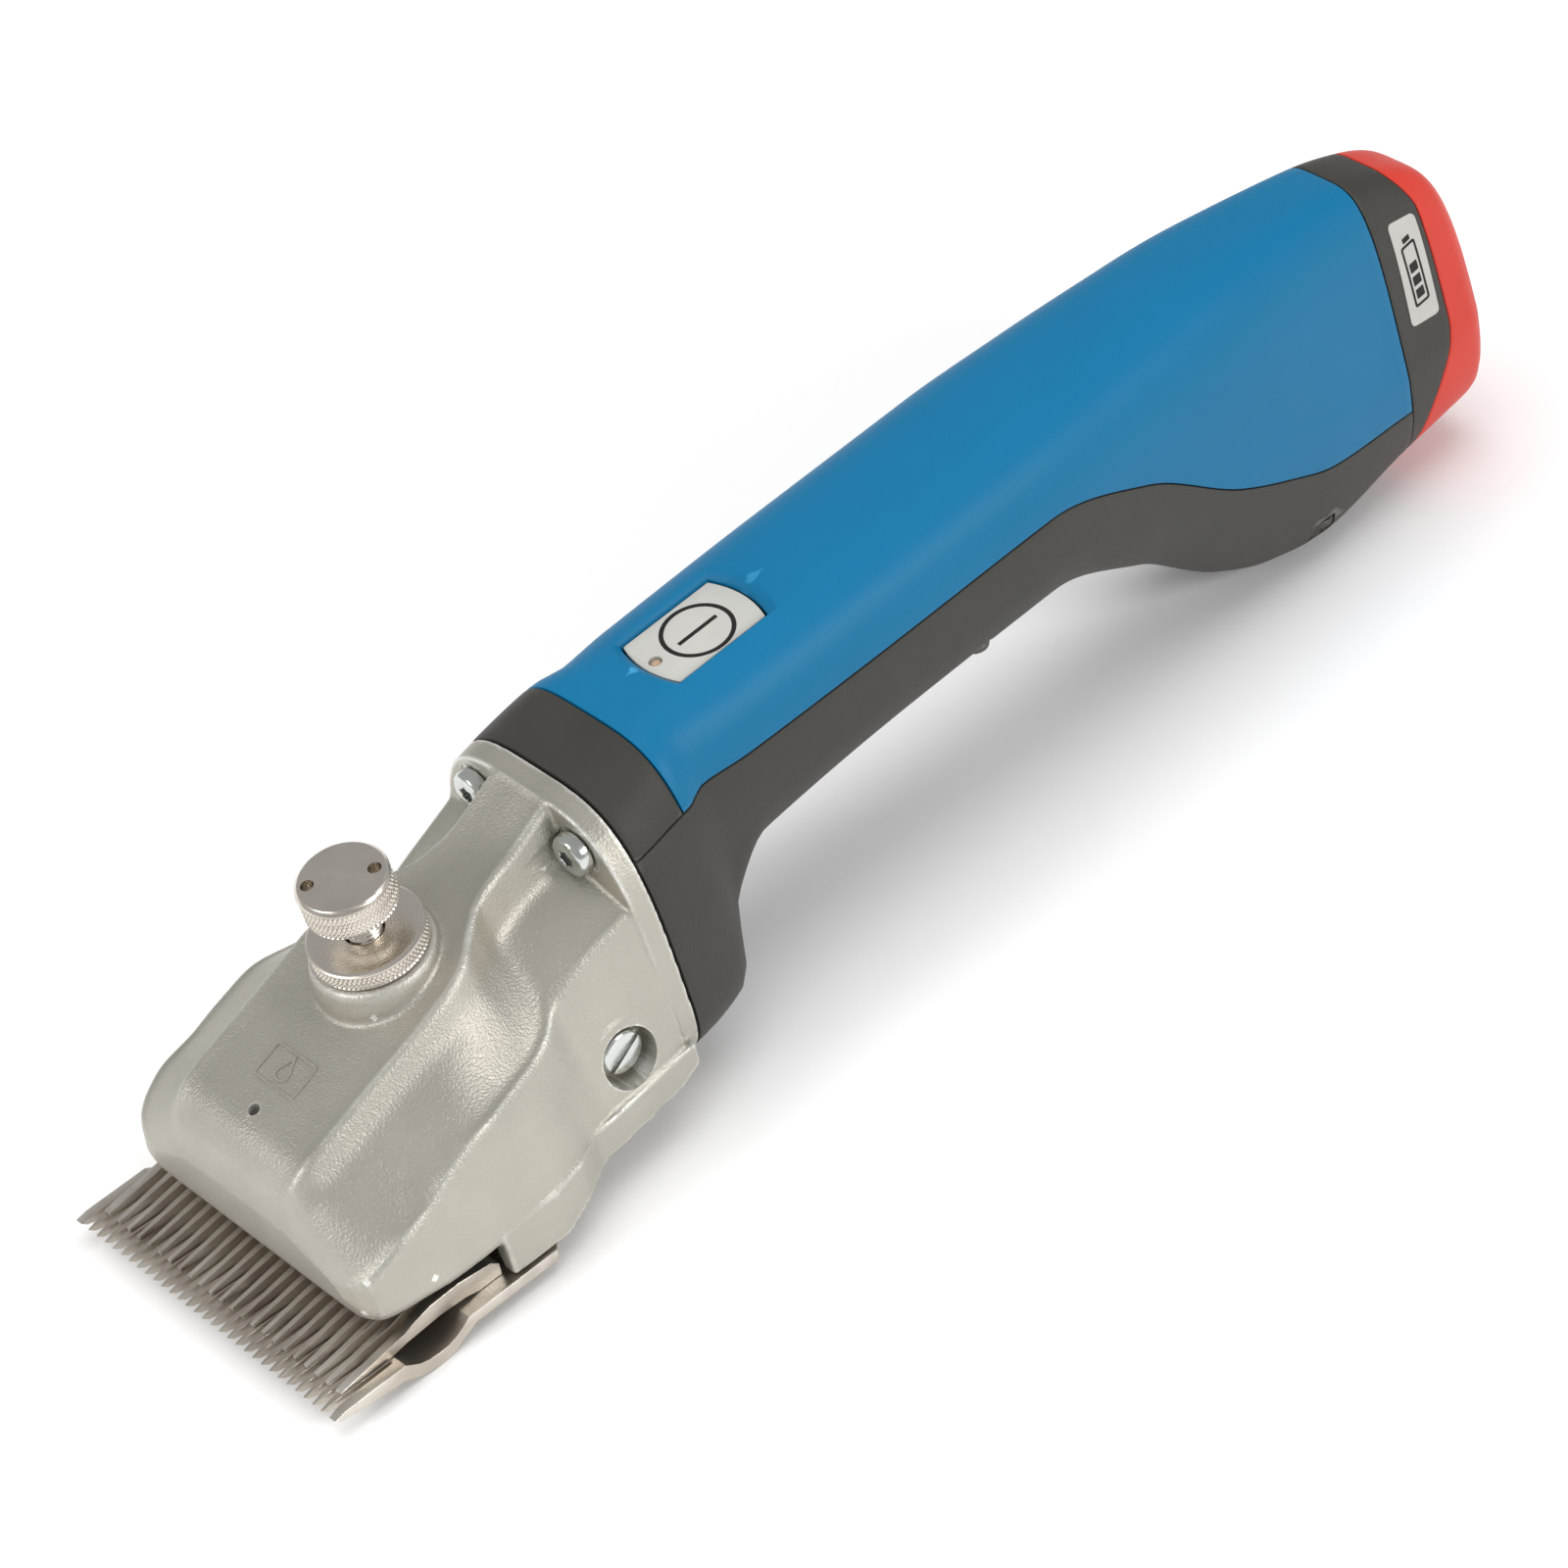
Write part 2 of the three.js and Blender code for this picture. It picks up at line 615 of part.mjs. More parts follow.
// The block between the side screws carries the lever's pivot post.
const postBlock = joined(
  box(76, 90, -23.6, 23.6, 1.8, 6.8),
  sides.map(({ sign }) => mirroredBox(sign, 78.4, 89, 17.8, 23.6, 3, 20)),
);
const blockBores = sides.map(({ sign }) => sideRod(sign, 15, 26, 2.9, 12));
const postHole = rod([leverPivotX, 0, 0], [leverPivotX, 0, 8], 4.3, 16);
piece("pivot_block", cutBy(postBlock, blockBores, postHole), "cast_alloy");
const post = joined(
  rod([leverPivotX, 0, 2], [leverPivotX, 0, 21], 4, 16),
  rod([leverPivotX, 0, 18.7], [leverPivotX, 0, 21], 6, 16),
);
piece("pivot_post", post, "turned_steel");

// ---------------------------------------------------------------- gear train and motor

function ring(x0, x1, z, outer, inner, sidesCount = 20) {
  const hole = rod([x0 - 1, 0, z], [x1 + 1, 0, z], inner, sidesCount);
  return cutBy(rod([x0, 0, z], [x1, 0, z], outer, sidesCount), hole);
}

function toothed(x0, x1, z, tipRadius, rootRadius, teeth, bore, phase = 0) {
  const shape = new THREE.Shape();
  for (let i = 0; i < teeth; i++) {
    const corners = [
      [rootRadius, -0.3],
      [tipRadius, -0.12],
      [tipRadius, 0.12],
      [rootRadius, 0.3],
    ];
    for (const [r, part] of corners) {
      const angle = (2 * Math.PI * (i + part + phase)) / teeth;
      if (i === 0 && part === -0.3) shape.moveTo(r * Math.cos(angle), r * Math.sin(angle));
      else shape.lineTo(r * Math.cos(angle), r * Math.sin(angle));
    }
  }
  const blank = solid(new THREE.ExtrudeGeometry(shape, { depth: x1 - x0, bevelEnabled: false }));
  const placed = blank.rotate([0, 90, 0]).translate([x0, 0, z]);
  return bore ? cutBy(placed, rod([x0 - 1, 0, z], [x1 + 1, 0, z], bore, 16)) : placed;
}

const gearFront = 108.8;
const gearRear = 113.6;
const gearTip = 15.4;
const gearRoot = 13.8;
const gearTeeth = 24;
const pinionTip = 5.1;
const pinionRoot = 3.6;
const pinionTeeth = 8;
const motorPlateFront = 116;
const motorPlateRear = 119.4;
const driveGear = toothed(gearFront, gearRear, driveHeight, gearTip, gearRoot, gearTeeth, 4.3, 0.5);
piece("drive_gear", driveGear, "brass");
const crankPin = rod([93.4, 0, driveHeight + crankThrow], [103, 0, driveHeight + crankThrow], 2.2, 12);
const crankWeb = rod([101.6, 0, driveHeight], [104.4, 0, driveHeight], 5.2, 16);
const crankCore = rod([104.4, 0, driveHeight], [120.2, 0, driveHeight], 4, 16);
piece("crank_shaft", joined(crankPin, crankWeb, crankCore), "dark_steel");
const roller = ring(rollerX - 2.5, rollerX + 2.5, driveHeight + crankThrow, rollerRadius, 2.5);
piece("crank_roller", roller, "turned_steel");
piece("front_bearing", ring(105, 108.4, driveHeight, 9, 4.3), "turned_steel");
piece("rear_bearing", ring(motorPlateFront, motorPlateRear, driveHeight, 7, 4.3), "turned_steel");

const frontPlate = cutBy(
  handleBody([104.8, 108.4], shellWall + 0.4, 16),
  rod([104, 0, driveHeight], [109, 0, driveHeight], 9.3, 20),
  rod([104, 0, motorHeight], [109, 0, motorHeight], 5.7, 16),
);
piece("gear_plate", frontPlate, "cast_alloy");
const plateOutline = handleBody([motorPlateFront, motorPlateRear], shellWall + 1.2, 16);
const motorPlate = cutBy(
  plateOutline,
  rod([115, 0, driveHeight], [121, 0, driveHeight], 7.3, 20),
  rod([115, 0, motorHeight], [121, 0, motorHeight], 5.7, 16),
);
piece("motor_plate", motorPlate, "cast_alloy");

const motorFront = 120;
const motorRear = 180;
const motorRadius = 13.4;
const canOuter = rod([motorFront, 0, motorHeight], [motorRear, 0, motorHeight], motorRadius, 24);
const canWall = 1.4;
const canBore = motorRadius - canWall;
const canInner = rod([motorFront + 2, 0, motorHeight], [motorRear + 1, 0, motorHeight], canBore, 20);
const canNose = rod([motorFront - 1, 0, motorHeight], [motorFront + 3, 0, motorHeight], 3, 20);
piece("motor_can", cutBy(canOuter, canInner, canNose), "dark_steel");
piece("motor_end_cap", ring(motorRear + gap, motorRear + 3, motorHeight, motorRadius, 3), "black_plastic");
const motorShaft = joined(
  toothed(gearFront, gearRear, motorHeight, pinionTip, pinionRoot, pinionTeeth, 0),
  rod([gearRear, 0, motorHeight], [motorRear + 5, 0, motorHeight], 2.4, 12),
  rod([127, 0, motorHeight], [170, 0, motorHeight], 10.4, 20),
  rod([172, 0, motorHeight], [178, 0, motorHeight], 6, 16),
);
piece("motor_rotor", motorShaft, "turned_steel");

// ---------------------------------------------------------------- handle shells

const frontXs = [shellFront, 108, 114, 117.5, 121, 126, 132, 145, 180];
const rearXs = [210, 223, 235, 247, 258, 272, 285, 298, shellRear];
const shellXs = [...frontXs, ...rearXs];
const shellOuter = handleBody(shellXs, 0, 20);
const innerXs = [shellFront - 1, ...shellXs.slice(1, -1), shellRear + 1];
const shellInner = handleBody(innerXs, shellWall, 16);
const shell = cutBy(shellOuter, shellInner);

function partingOutline(shift, far) {
  const xs = [90, ...shellXs, 320];
  const line = xs.map((x) => [x, readTable(handleTable, x)[8] + shift]);
  return [...line, [320, far], [90, far]];
}
const aboveParting = slabAcross(partingOutline(gap / 2, 90), -40, 40);
const belowParting = slabAcross(partingOutline(-gap / 2, -40), -40, 40);

const collar = shell.intersect(aboveParting).intersect(box(90, collarRear, -40, 40, 0, 90));
piece("collar", collar, "black_plastic");

const screwPlaces = shellScrewX.flatMap((x, row) =>
  sides.map(({ name, sign }) => ({ x, y: sign * shellScrewY[row], name, row })),
);
const partingAt = (x) => readTable(handleTable, x)[8];
const screwSeat = [30, -8]; // height of each row's screw head seats
const postWithin = handleBody(innerXs, 1, 16);
const screwPosts = joined(
  screwPlaces.map(({ x, y }) => rod([x, y, partingAt(x) - 24], [x, y, partingAt(x) + 9], 3.2, 12)),
).intersect(postWithin);
const screwBores = screwPlaces.map(({ x, y }) =>
  rod([x, y, partingAt(x) - 30], [x, y, partingAt(x) + 6.5], 1.7, 10),
);

const padZ = 61.2; // face of the switch pad
const padPlan = [];
for (let i = 0; i <= 6; i++) {
  const y = padHalfWidth * (1 - i / 3);
  const bow = 1.6 * (1 - (y / padHalfWidth) ** 2);
  padPlan.push([padRear - 1.6 + bow, y]);
}
const padOutline = [...padPlan, ...padPlan.map(([x, y]) => [padFront + padRear - x, -y])];
const grown = (outline, by) => {
  const cx = (padFront + padRear) / 2;
  return outline.map(([x, y]) => [x + by * Math.sign(x - cx), y + (by * y) / padHalfWidth]);
};
const padPocket = slabUp(grown(padOutline, 0.3), padZ - 1.8, 70);
const padStemHole = rod([140, 0, 50], [140, 0, 62], 3.2, 12);
const ledHole = rod([ledX, 0, 50], [ledX, 0, 62], 1.4, 8);
const padFloor = slabUp(grown(padOutline, 2), padZ - 2.8, padZ - 1.2).intersect(postWithin);
let upperShell = shell.intersect(aboveParting).intersect(box(collarRear + gap, 320, -40, 40, -20, 90));
upperShell = joined(upperShell, padFloor, screwPosts.intersect(aboveParting));
upperShell = cutBy(upperShell, padPocket, padStemHole, ledHole, screwBores);
piece("upper_shell", upperShell, "blue_plastic");

// The lower shell's belly is flattened where it lies on the table.
function toHandleFrame(body) {
  return body.rotate([0, THREE.MathUtils.radToDeg(tablePitch), 0]);
}
const tableHeight = -6.68; // of the table, measured square to it from the comb's tips
const table = toHandleFrame(box(-10, 400, -60, 60, -60, tableHeight));
let lowerShell = shell.intersect(belowParting);
lowerShell = joined(lowerShell, screwPosts.intersect(belowParting));
const headPockets = screwPlaces.map(({ x, y, row }) =>
  rod([x, y, screwSeat[row] - 25], [x, y, screwSeat[row]], 3.4, 12),
);
lowerShell = cutBy(lowerShell, screwBores, headPockets, table);
piece("lower_shell", lowerShell, "black_plastic");

for (const { x, y, name, row } of screwPlaces) {
  const seat = screwSeat[row];
  const screw = panScrew(2.8, 1.8, 1.3, partingAt(x) + 5 - seat, 1.2).rotate([180, 0, 0]);
  piece((row === 0 ? "grip_screw_" : "rear_screw_") + name, screw.translate([x, y, seat - 0.2]), "zinc");
}

// ---------------------------------------------------------------- switch and electronics

const pad = joined(slabUp(padOutline, padZ - 1.1, padZ), rod([140, 0, 58.8], [140, 0, padZ - 0.5], 2.9, 12));
const ledWindow = rod([ledX, 0, 50], [ledX, 0, 64], 1.4, 8);
piece("switch_pad", cutBy(pad, ledWindow), "pale_plastic");
const led = rod([ledX, 0, 57.1], [ledX, 0, padZ - 0.3], 1.1, 8);
piece("status_led", led, "led_lens");
const boardZ = 55.2;
piece("circuit_board", box(126, 162, -11, 11, boardZ, boardZ + 1.5), "board_green");
const keyBody = box(136.6, 143.4, -3.4, 3.4, 57, 57.7);
const keyPlunger = rod([140, 0, 57.5], [140, 0, 58.1], 1.7, 10);
piece("switch_key", joined(keyBody, keyPlunger), "black_plastic");

const terminalBlock = joined(
  box(252, 257.5, -12, 12, 20, 46),
  [26, 33, 40].map((z) => box(257, 262.6, -4, 4, z - 0.5, z + 0.5)),
);
piece("terminal_block", terminalBlock, "black_plastic");

// ---------------------------------------------------------------- battery

const bandFront = shellRear + gap;
const packRear = 335;
const packXs = [bandFront, 315, 322, 326, 330, 332.8, packRear];
const packOuter = handleBody(packXs, 0, 20);
const packHollow = handleBody([bandFront - 1, 315, 322, 327, 330], 2.4, 16);
const packShell = cutBy(packOuter, packHollow);
// The cap meets the band along a wavy line: forward at top and bottom, further back on the flanks.
const seam = [
  [320, 60],
  [320.8, 51],
  [322.4, 48],
  [323.8, 44],
  [323.8, 17],
  [322.2, 9.6],
  [319, 4],
  [315, -2.4],
  [312, -10],
  [310.8, -24],
];
const beyondSeam = (shift, farX) => {
  const line = seam.map(([x, z]) => [x + shift, z]);
  return slabAcross([...line, [farX, -24], [farX, 60]], -40, 40);
};
// The insert keeps one cross-section, so that it slides out through the shells' rear opening.
function insertBar(x0, x1, inset, halfWidth) {
  const mouth = handleRing(shellRear, inset, 16);
  const bar = loft([x0, x1].map((x) => mouth.map(([, y, z]) => [x, y, z])));
  return bar.intersect(box(x0 - 1, x1 + 1, -halfWidth, halfWidth, -40, 70));
}
const insertBody = insertBar(insertFront, bandFront + 0.6, shellWall + 1.6, 10.7);
const insertHollow = insertBar(insertFront + 2, bandFront + 3, shellWall + 2.8, 9.2);
const bandWall = handleBody([bandFront, bandFront + 1.6], 1, 16);
const contactSlots = [26, 33, 40].map((z) =>
  box(insertFront - 4, insertFront + 4, -4.6, 4.6, z - 1.1, z + 1.1),
);
const labelOutline = (border) => [
  [313.4 + border, 20.6 + border],
  [321.8 - border, 19.2 + border],
  [322.4 - border, 42.4 - border],
  [314.2 + border, 44.4 - border],
];
const labelSkin = (inset) => handleBody([310, 315, 322, 326], inset, 20);
const labelBlock = slabAcross(labelOutline(0), -30, 0);
const labelPocket = cutBy(labelBlock, labelSkin(0.6)).intersect(slabAcross(labelOutline(0), -30, -4));
let batteryCase = packShell.intersect(box(300, 340, -40, 40, -40, 80)).subtract(beyondSeam(-gap / 2, 350));
batteryCase = joined(batteryCase, insertBody, bandWall);
batteryCase = cutBy(batteryCase, insertHollow, contactSlots, labelPocket, beyondSeam(-gap / 2, 350));
piece("battery_case", batteryCase, "black_plastic");
const labelPlate = slabAcross(labelOutline(gap), -30, -4);
piece("battery_label", labelPlate.intersect(labelSkin(0)).subtract(labelSkin(0.45)), "pale_plastic");
piece("battery_cap", packShell.intersect(beyondSeam(gap / 2, 350)), "red_plastic");

cellHeights.forEach((z, i) => {
  const cell = joined(
    rod([cellFront, 0, z], [cellFront + cellLength, 0, z], cellRadius, 20),
    rod([cellFront - 0.8, 0, z], [cellFront + 1, 0, z], 3, 12),
  );
  piece("battery_cell_" + (i + 1), cell, "cell_wrap");
});

// ---------------------------------------------------------------- on the table

group.rotation.y = -tablePitch;
group.position.set(-overallLength / 2, 0, -tableHeight);

export default group;
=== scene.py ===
# Cordless sheep shears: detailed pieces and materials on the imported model.
# Pieces are drawn in millimetres in the handle's own frame (x runs back from the comb's tips towards the
# battery, y to the left, z up); handle_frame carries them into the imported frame, in metres.
import functools
import json
import math

import bmesh
import bpy
from mathutils import Matrix, Vector


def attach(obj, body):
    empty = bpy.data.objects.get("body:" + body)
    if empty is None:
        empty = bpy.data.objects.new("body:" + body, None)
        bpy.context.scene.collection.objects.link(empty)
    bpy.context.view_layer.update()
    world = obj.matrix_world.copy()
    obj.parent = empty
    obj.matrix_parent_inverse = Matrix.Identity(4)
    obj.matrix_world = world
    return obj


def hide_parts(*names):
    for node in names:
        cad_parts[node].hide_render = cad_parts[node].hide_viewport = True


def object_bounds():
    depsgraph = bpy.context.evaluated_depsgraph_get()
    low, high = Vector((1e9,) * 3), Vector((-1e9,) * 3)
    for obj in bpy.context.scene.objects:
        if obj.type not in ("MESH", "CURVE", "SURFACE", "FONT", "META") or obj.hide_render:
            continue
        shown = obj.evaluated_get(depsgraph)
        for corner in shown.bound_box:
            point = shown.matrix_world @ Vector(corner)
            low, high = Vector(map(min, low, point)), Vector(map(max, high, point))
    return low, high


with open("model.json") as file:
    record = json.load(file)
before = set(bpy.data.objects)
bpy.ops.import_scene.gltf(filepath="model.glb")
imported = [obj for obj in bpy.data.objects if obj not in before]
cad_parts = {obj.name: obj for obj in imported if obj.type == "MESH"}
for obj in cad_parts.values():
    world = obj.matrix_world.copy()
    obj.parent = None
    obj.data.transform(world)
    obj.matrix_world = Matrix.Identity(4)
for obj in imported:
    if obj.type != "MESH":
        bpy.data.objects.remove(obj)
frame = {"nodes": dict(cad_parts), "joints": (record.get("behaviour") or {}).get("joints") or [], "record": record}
cad_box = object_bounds()
joints = {joint["name"]: joint for joint in frame["joints"]}

# ---------------------------------------------------------------- driving dimensions

GAP = 0.3
MOTOR_POINT = Vector((111, 0, 40.5))  # of the rotor's joint, in the handle's frame
TABLE_DROP = 6.68  # of the table below the comb's tips

BLADE_PITCH = math.radians(3.3)
BLADE_DROP = 0.85
COMB_HALF = 38.5
COMB_TEETH = 31
COMB_ROOT = 15.5
CUTTER_HALF = 35.2
CUTTER_TEETH = 23
CUTTER_FRONT = 4.5
CUTTER_REAR = 42.3
PRONG = (33, 9)  # x, y of the lever's prongs in the cutter
COMB_SCREW = (50, 19)  # x, y in the blade's frame

KNOB_X = 56.4
RING_TOP = 52.8
KNOB_LEAN = math.radians(4.3)
KNOB_TOP = 14.1
KNOB_RADIUS = 8.9
RING_RADIUS = 11.2
NECK_RADIUS = 3.4

FLANGE_X = 99.8
HEAD_SCREWS = {"upper": (13.9, 49.3), "lower": (22, 6)}
SIDE_SCREW = (83.7, 14.5)
SIDE_SEAT = 25.6  # distance of the side screw's seat from the middle
CAST_WALL = 3

SHELL_WALL = 2.4
SHELL_FRONT = 100.2
COLLAR_REAR = 112.9
SHELL_REAR = 309.5
WELL_RADIUS = 4.7
POCKET_RADIUS = 3.4
SHELL_SCREWS = {"grip": (190, 16.4, 30), "rear": (283, 14.2, -8)}  # x, y, height of the head's seat
PAD = (127.6, 152.4, 8, 61.2)  # front, rear, half width, height of the face
LED_X = 130.2
SWITCH_MARK = (140.6, -0.3)  # centre on the pad
OIL_MARK_X = 32.4
ICON_X = 317.9
INSERT_FRONT = 268
PACK_REAR = 335

# Handle sections: x, top, bottom, half width, height of the widest line, taper of the upper half,
# squareness above and below, height of the parting line.
HANDLE = [
    (96, 57.6, -3.6, 29.6, 13, 0.14, 3.8, 3.2, 47),
    (101, 59.2, -3.4, 29.4, 13, 0.14, 3.8, 3.2, 47.5),
    (114, 62, -1.4, 27.3, 14, 0.11, 3.8, 3.2, 49),
    (121, 62.8, 14, 22, 26, 0.05, 3.6, 2.8, 49),
    (132, 63, 21.4, 21.6, 36, 0.02, 3.3, 2.3, 48.5),
    (170, 63.4, 22.8, 21.7, 38, 0, 3.1, 2.25, 48),
    (210, 63.6, 22, 21.6, 38, 0, 3, 2.25, 47.5),
    (235, 63.2, 10.8, 21.2, 32, 0.02, 3.1, 2.6, 38),
    (258, 62.2, -9.4, 20.8, 24, 0.07, 3.3, 2.5, 20),
    (272, 61, -17.4, 20.3, 19, 0.13, 3.7, 2.4, 12),
    (285, 59.2, -20.3, 19.6, 15, 0.2, 4, 2.55, 6),
    (309, 54.8, -15.2, 17.9, 11, 0.3, 4.4, 3, 2),
    (322, 50.2, -13.2, 17.5, 11, 0.33, 4.5, 3.3, 0),
    (330, 45.6, -12.6, 17, 11, 0.33, 4.3, 3.3, 0),
    (335, 39, -10, 14.4, 11, 0.3, 3.2, 3, 0),
]

# Head sections: x, bottom, half width at the bottom, half width of the top face, height of the top face,
# ridge half width, ridge height, depth of the step between top face and side pocket.
HEAD = [
    (14.6, 8.5, 28, 12, 19, 26.5, 13, 0),
    (15.6, 5.8, 32, 15.5, 24.6, 30.6, 14, 2),
    (17.6, 4.8, 34.8, 17.4, 29, 33.6, 15.4, 3.6),
    (21, 4.6, 36, 18.2, 32.2, 35, 17.6, 4.4),
    (26, 4.4, 36.8, 18.3, 34.1, 35.6, 20, 4.6),
    (33, 4.2, 37.8, 18.3, 36.4, 35.2, 22, 4.6),
    (40, 4.2, 38.2, 18.3, 38.7, 34.5, 25.2, 4.6),
    (50, 4.2, 38.3, 18.4, 41.9, 33.8, 28, 4.6),
    (57, 4.2, 38, 18.2, 44.2, 31.9, 28, 4.8),
    (64, 4.2, 36, 16.6, 46.3, 29.9, 28, 5.5),
    (70, 4.2, 33.4, 12.6, 48, 27.8, 29.2, 7),
    (76, 4.2, 32.4, 9, 49.6, 24.6, 32.6, 8.5),
    (84, 4.2, 32, 8, 51.8, 24.8, 36, 9),
    (95.4, 6, 31, 8, 57.2, 25.8, 39.5, 12),
]

# Where the red cap begins, seen from the side: height, x.
SEAM = [
    (-24, 310.8),
    (-10, 312),
    (-2.4, 315),
    (4, 319),
    (9.6, 322.2),
    (17, 323.8),
    (44, 323.8),
    (48, 322.4),
    (51, 320.8),
    (60, 320),
]

# ---------------------------------------------------------------- frames

pitch_axis = Vector(joints["rotor_turn"]["axis"])
pitch = math.atan2(pitch_axis.z, pitch_axis.x)
turned_up = Matrix.Rotation(-pitch, 4, "Y") @ Matrix.Scale(0.001, 4)
motor_place = Vector(joints["rotor_turn"]["pos_m"])
handle_frame = Matrix.Translation(motor_place - turned_up @ MOTOR_POINT) @ turned_up
blade_frame = Matrix.Translation((0, 0, -BLADE_DROP)) @ Matrix.Rotation(BLADE_PITCH, 4, "Y")
tension_frame = Matrix.Translation((KNOB_X, 0, RING_TOP)) @ Matrix.Rotation(-KNOB_LEAN, 4, "Y")

SIDES = (("left", 1), ("right", -1))


def read_table(table, x):
    """A value table read at any x: each column runs smoothly and without overshoot from row to row."""
    last = len(table) - 1
    i = 0
    while i < last - 1 and x > table[i + 1][0]:
        i += 1
    span = table[i + 1][0] - table[i][0]
    t = min(1.0, max(0.0, (x - table[i][0]) / span))

    def grade(k, c):
        return (table[k + 1][c] - table[k][c]) / (table[k + 1][0] - table[k][0])

    def slope(k, c):
        if k in (0, last):
            return grade(min(k, last - 1), c)
        before, after = grade(k - 1, c), grade(k, c)
        return 0.0 if before * after <= 0 else 2 * before * after / (before + after)

    row = []
    for c, (start, end) in enumerate(zip(table[i], table[i + 1])):
        pull = (t**3 - 2 * t**2 + t) * slope(i, c) + (t**3 - t**2) * slope(i + 1, c)
        row.append((2 * t**3 - 3 * t**2 + 1) * start + (3 * t**2 - 2 * t**3) * end + span * pull)
    return row


@functools.lru_cache(maxsize=None)
def handle_row(x):
    return tuple(read_table(HANDLE, x))


def steps(start, end, size):
    """Evenly spread values from start to end, about size apart."""
    count = max(1, round(abs(end - start) / size))
    return [start + (end - start) * i / count for i in range(count + 1)]


# ---------------------------------------------------------------- mesh helpers


def solid(name, points, faces):
    """A new object whose faces all look outwards."""
    mesh = bpy.data.meshes.new(name)
    mesh.from_pydata([tuple(p) for p in points], [], faces)
    work = bmesh.new()
    work.from_mesh(mesh)
    bmesh.ops.remove_doubles(work, verts=work.verts, dist=1e-5)
    bmesh.ops.recalc_face_normals(work, faces=work.faces)
    work.to_mesh(mesh)
    work.free()
    made = bpy.data.objects.new(name, mesh)
    bpy.context.scene.collection.objects.link(made)
    return made


def loft(name, rings):
    """A skin over closed rings of points, with a flat face on each end."""
    count = len(rings[0])
    points = [p for ring in rings for p in ring]
    faces = []
    for r in range(len(rings) - 1):
        for i in range(count):
            j = (i + 1) % count
            faces.append((r * count + i, r * count + j, (r + 1) * count + j, (r + 1) * count + i))
    faces.append(tuple(range(count)))
    faces.append(tuple(range(len(points) - count, len(points))))
    return solid(name, points, faces)


def wall(name, outer, inner, wrap=False, closed_end=False):
    """The solid between two grids of points. wrap closes each row, and closed_end the last row."""
    rows, cols = len(outer), len(outer[0])
    points = [p for grid in (outer, inner) for row in grid for p in row]

    def at(side, r, c):
        return side * rows * cols + r * cols + c % cols

    faces = []
    for r in range(rows - 1):
        for c in range(cols if wrap else cols - 1):
            for side in (0, 1):
                faces.append((at(side, r, c), at(side, r, c + 1), at(side, r + 1, c + 1), at(side, r + 1, c)))
        if not wrap:
            for c in (0, cols - 1):
                faces.append((at(0, r, c), at(0, r + 1, c), at(1, r + 1, c), at(1, r, c)))
    for r in (0,) if closed_end else (0, rows - 1):
        for c in range(cols if wrap else cols - 1):
            faces.append((at(0, r, c), at(0, r, c + 1), at(1, r, c + 1), at(1, r, c)))
    if closed_end:
        for side in (0, 1):
            faces.append(tuple(at(side, rows - 1, c) for c in range(cols)))
    return solid(name, points, faces)


def prism(name, outline, start, end, axis="z"):
    """An outline of pairs run along an axis: (x, y) pairs for z, and (x, z) pairs for y."""

    def place(pair, along):
        return (pair[0], pair[1], along) if axis == "z" else (pair[0], along, pair[1])

    return loft(name, [[place(pair, along) for pair in outline] for along in (start, end)])


def revolved(name, profile, count, matrix=Matrix.Identity(4)):
    """A body turned about z. A profile point is (radius, height) or (radius, height, relief), where
    relief(angle, height) is cut from the radius."""
    points, faces, rings = [], [], []
    for radius, height, *relief in profile:
        if radius == 0:
            rings.append([len(points)] * count)
            points.append(matrix @ Vector((0, 0, height)))
            continue
        rings.append([len(points) + i for i in range(count)])
        for i in range(count):
            angle = 2 * math.pi * i / count
            reach = radius - (relief[0](angle, height) if relief else 0)
            points.append(matrix @ Vector((reach * math.cos(angle), reach * math.sin(angle), height)))
    pairs = list(zip(rings, rings[1:]))
    if profile[0][0] != 0:
        pairs.append((rings[-1], rings[0]))
    for low, high in pairs:
        for i in range(count):
            j = (i + 1) % count
            face = []
            for corner in (low[i], low[j], high[j], high[i]):
                if corner not in face:
                    face.append(corner)
            if len(face) > 2:
                faces.append(tuple(face))
    return solid(name, points, faces)


def rod(name, start, end, radius, count=32):
    """A round bar between two points."""
    start, end = Vector(start), Vector(end)
    turn = (end - start).to_track_quat("Z", "Y").to_matrix().to_4x4()
    profile = [(0, 0), (radius, 0), (radius, (end - start).length), (0, (end - start).length)]
    return revolved(name, profile, count, Matrix.Translation(start) @ turn)


def merge(*objects):
    """Several objects' meshes in the first one."""
    first = objects[0]
    work = bmesh.new()
    for one in objects:
        work.from_mesh(one.data)
    work.to_mesh(first.data)
    work.free()
    for other in objects[1:]:
        discard(other)
    return first


def discard(made):
    mesh = made.data
    bpy.data.objects.remove(made)
    bpy.data.meshes.remove(mesh)


def bake(made):
    """Applies the object's modifiers to its mesh."""
    view = bpy.context.evaluated_depsgraph_get()
    view.update()
    mesh = bpy.data.meshes.new_from_object(made.evaluated_get(view))
    made.modifiers.clear()
    old, made.data = made.data, mesh
    bpy.data.meshes.remove(old)
    return made


def combined(target, tools, operation="DIFFERENCE"):
    """The target cut by, joined to or limited to the tools, which are used up."""
    tool = merge(*tools)
    change = target.modifiers.new("combine", "BOOLEAN")
    change.operation = operation
    change.solver = "EXACT"
    change.use_self = len(tools) > 1
    change.object = tool
    bake(target)
    discard(tool)
    return target


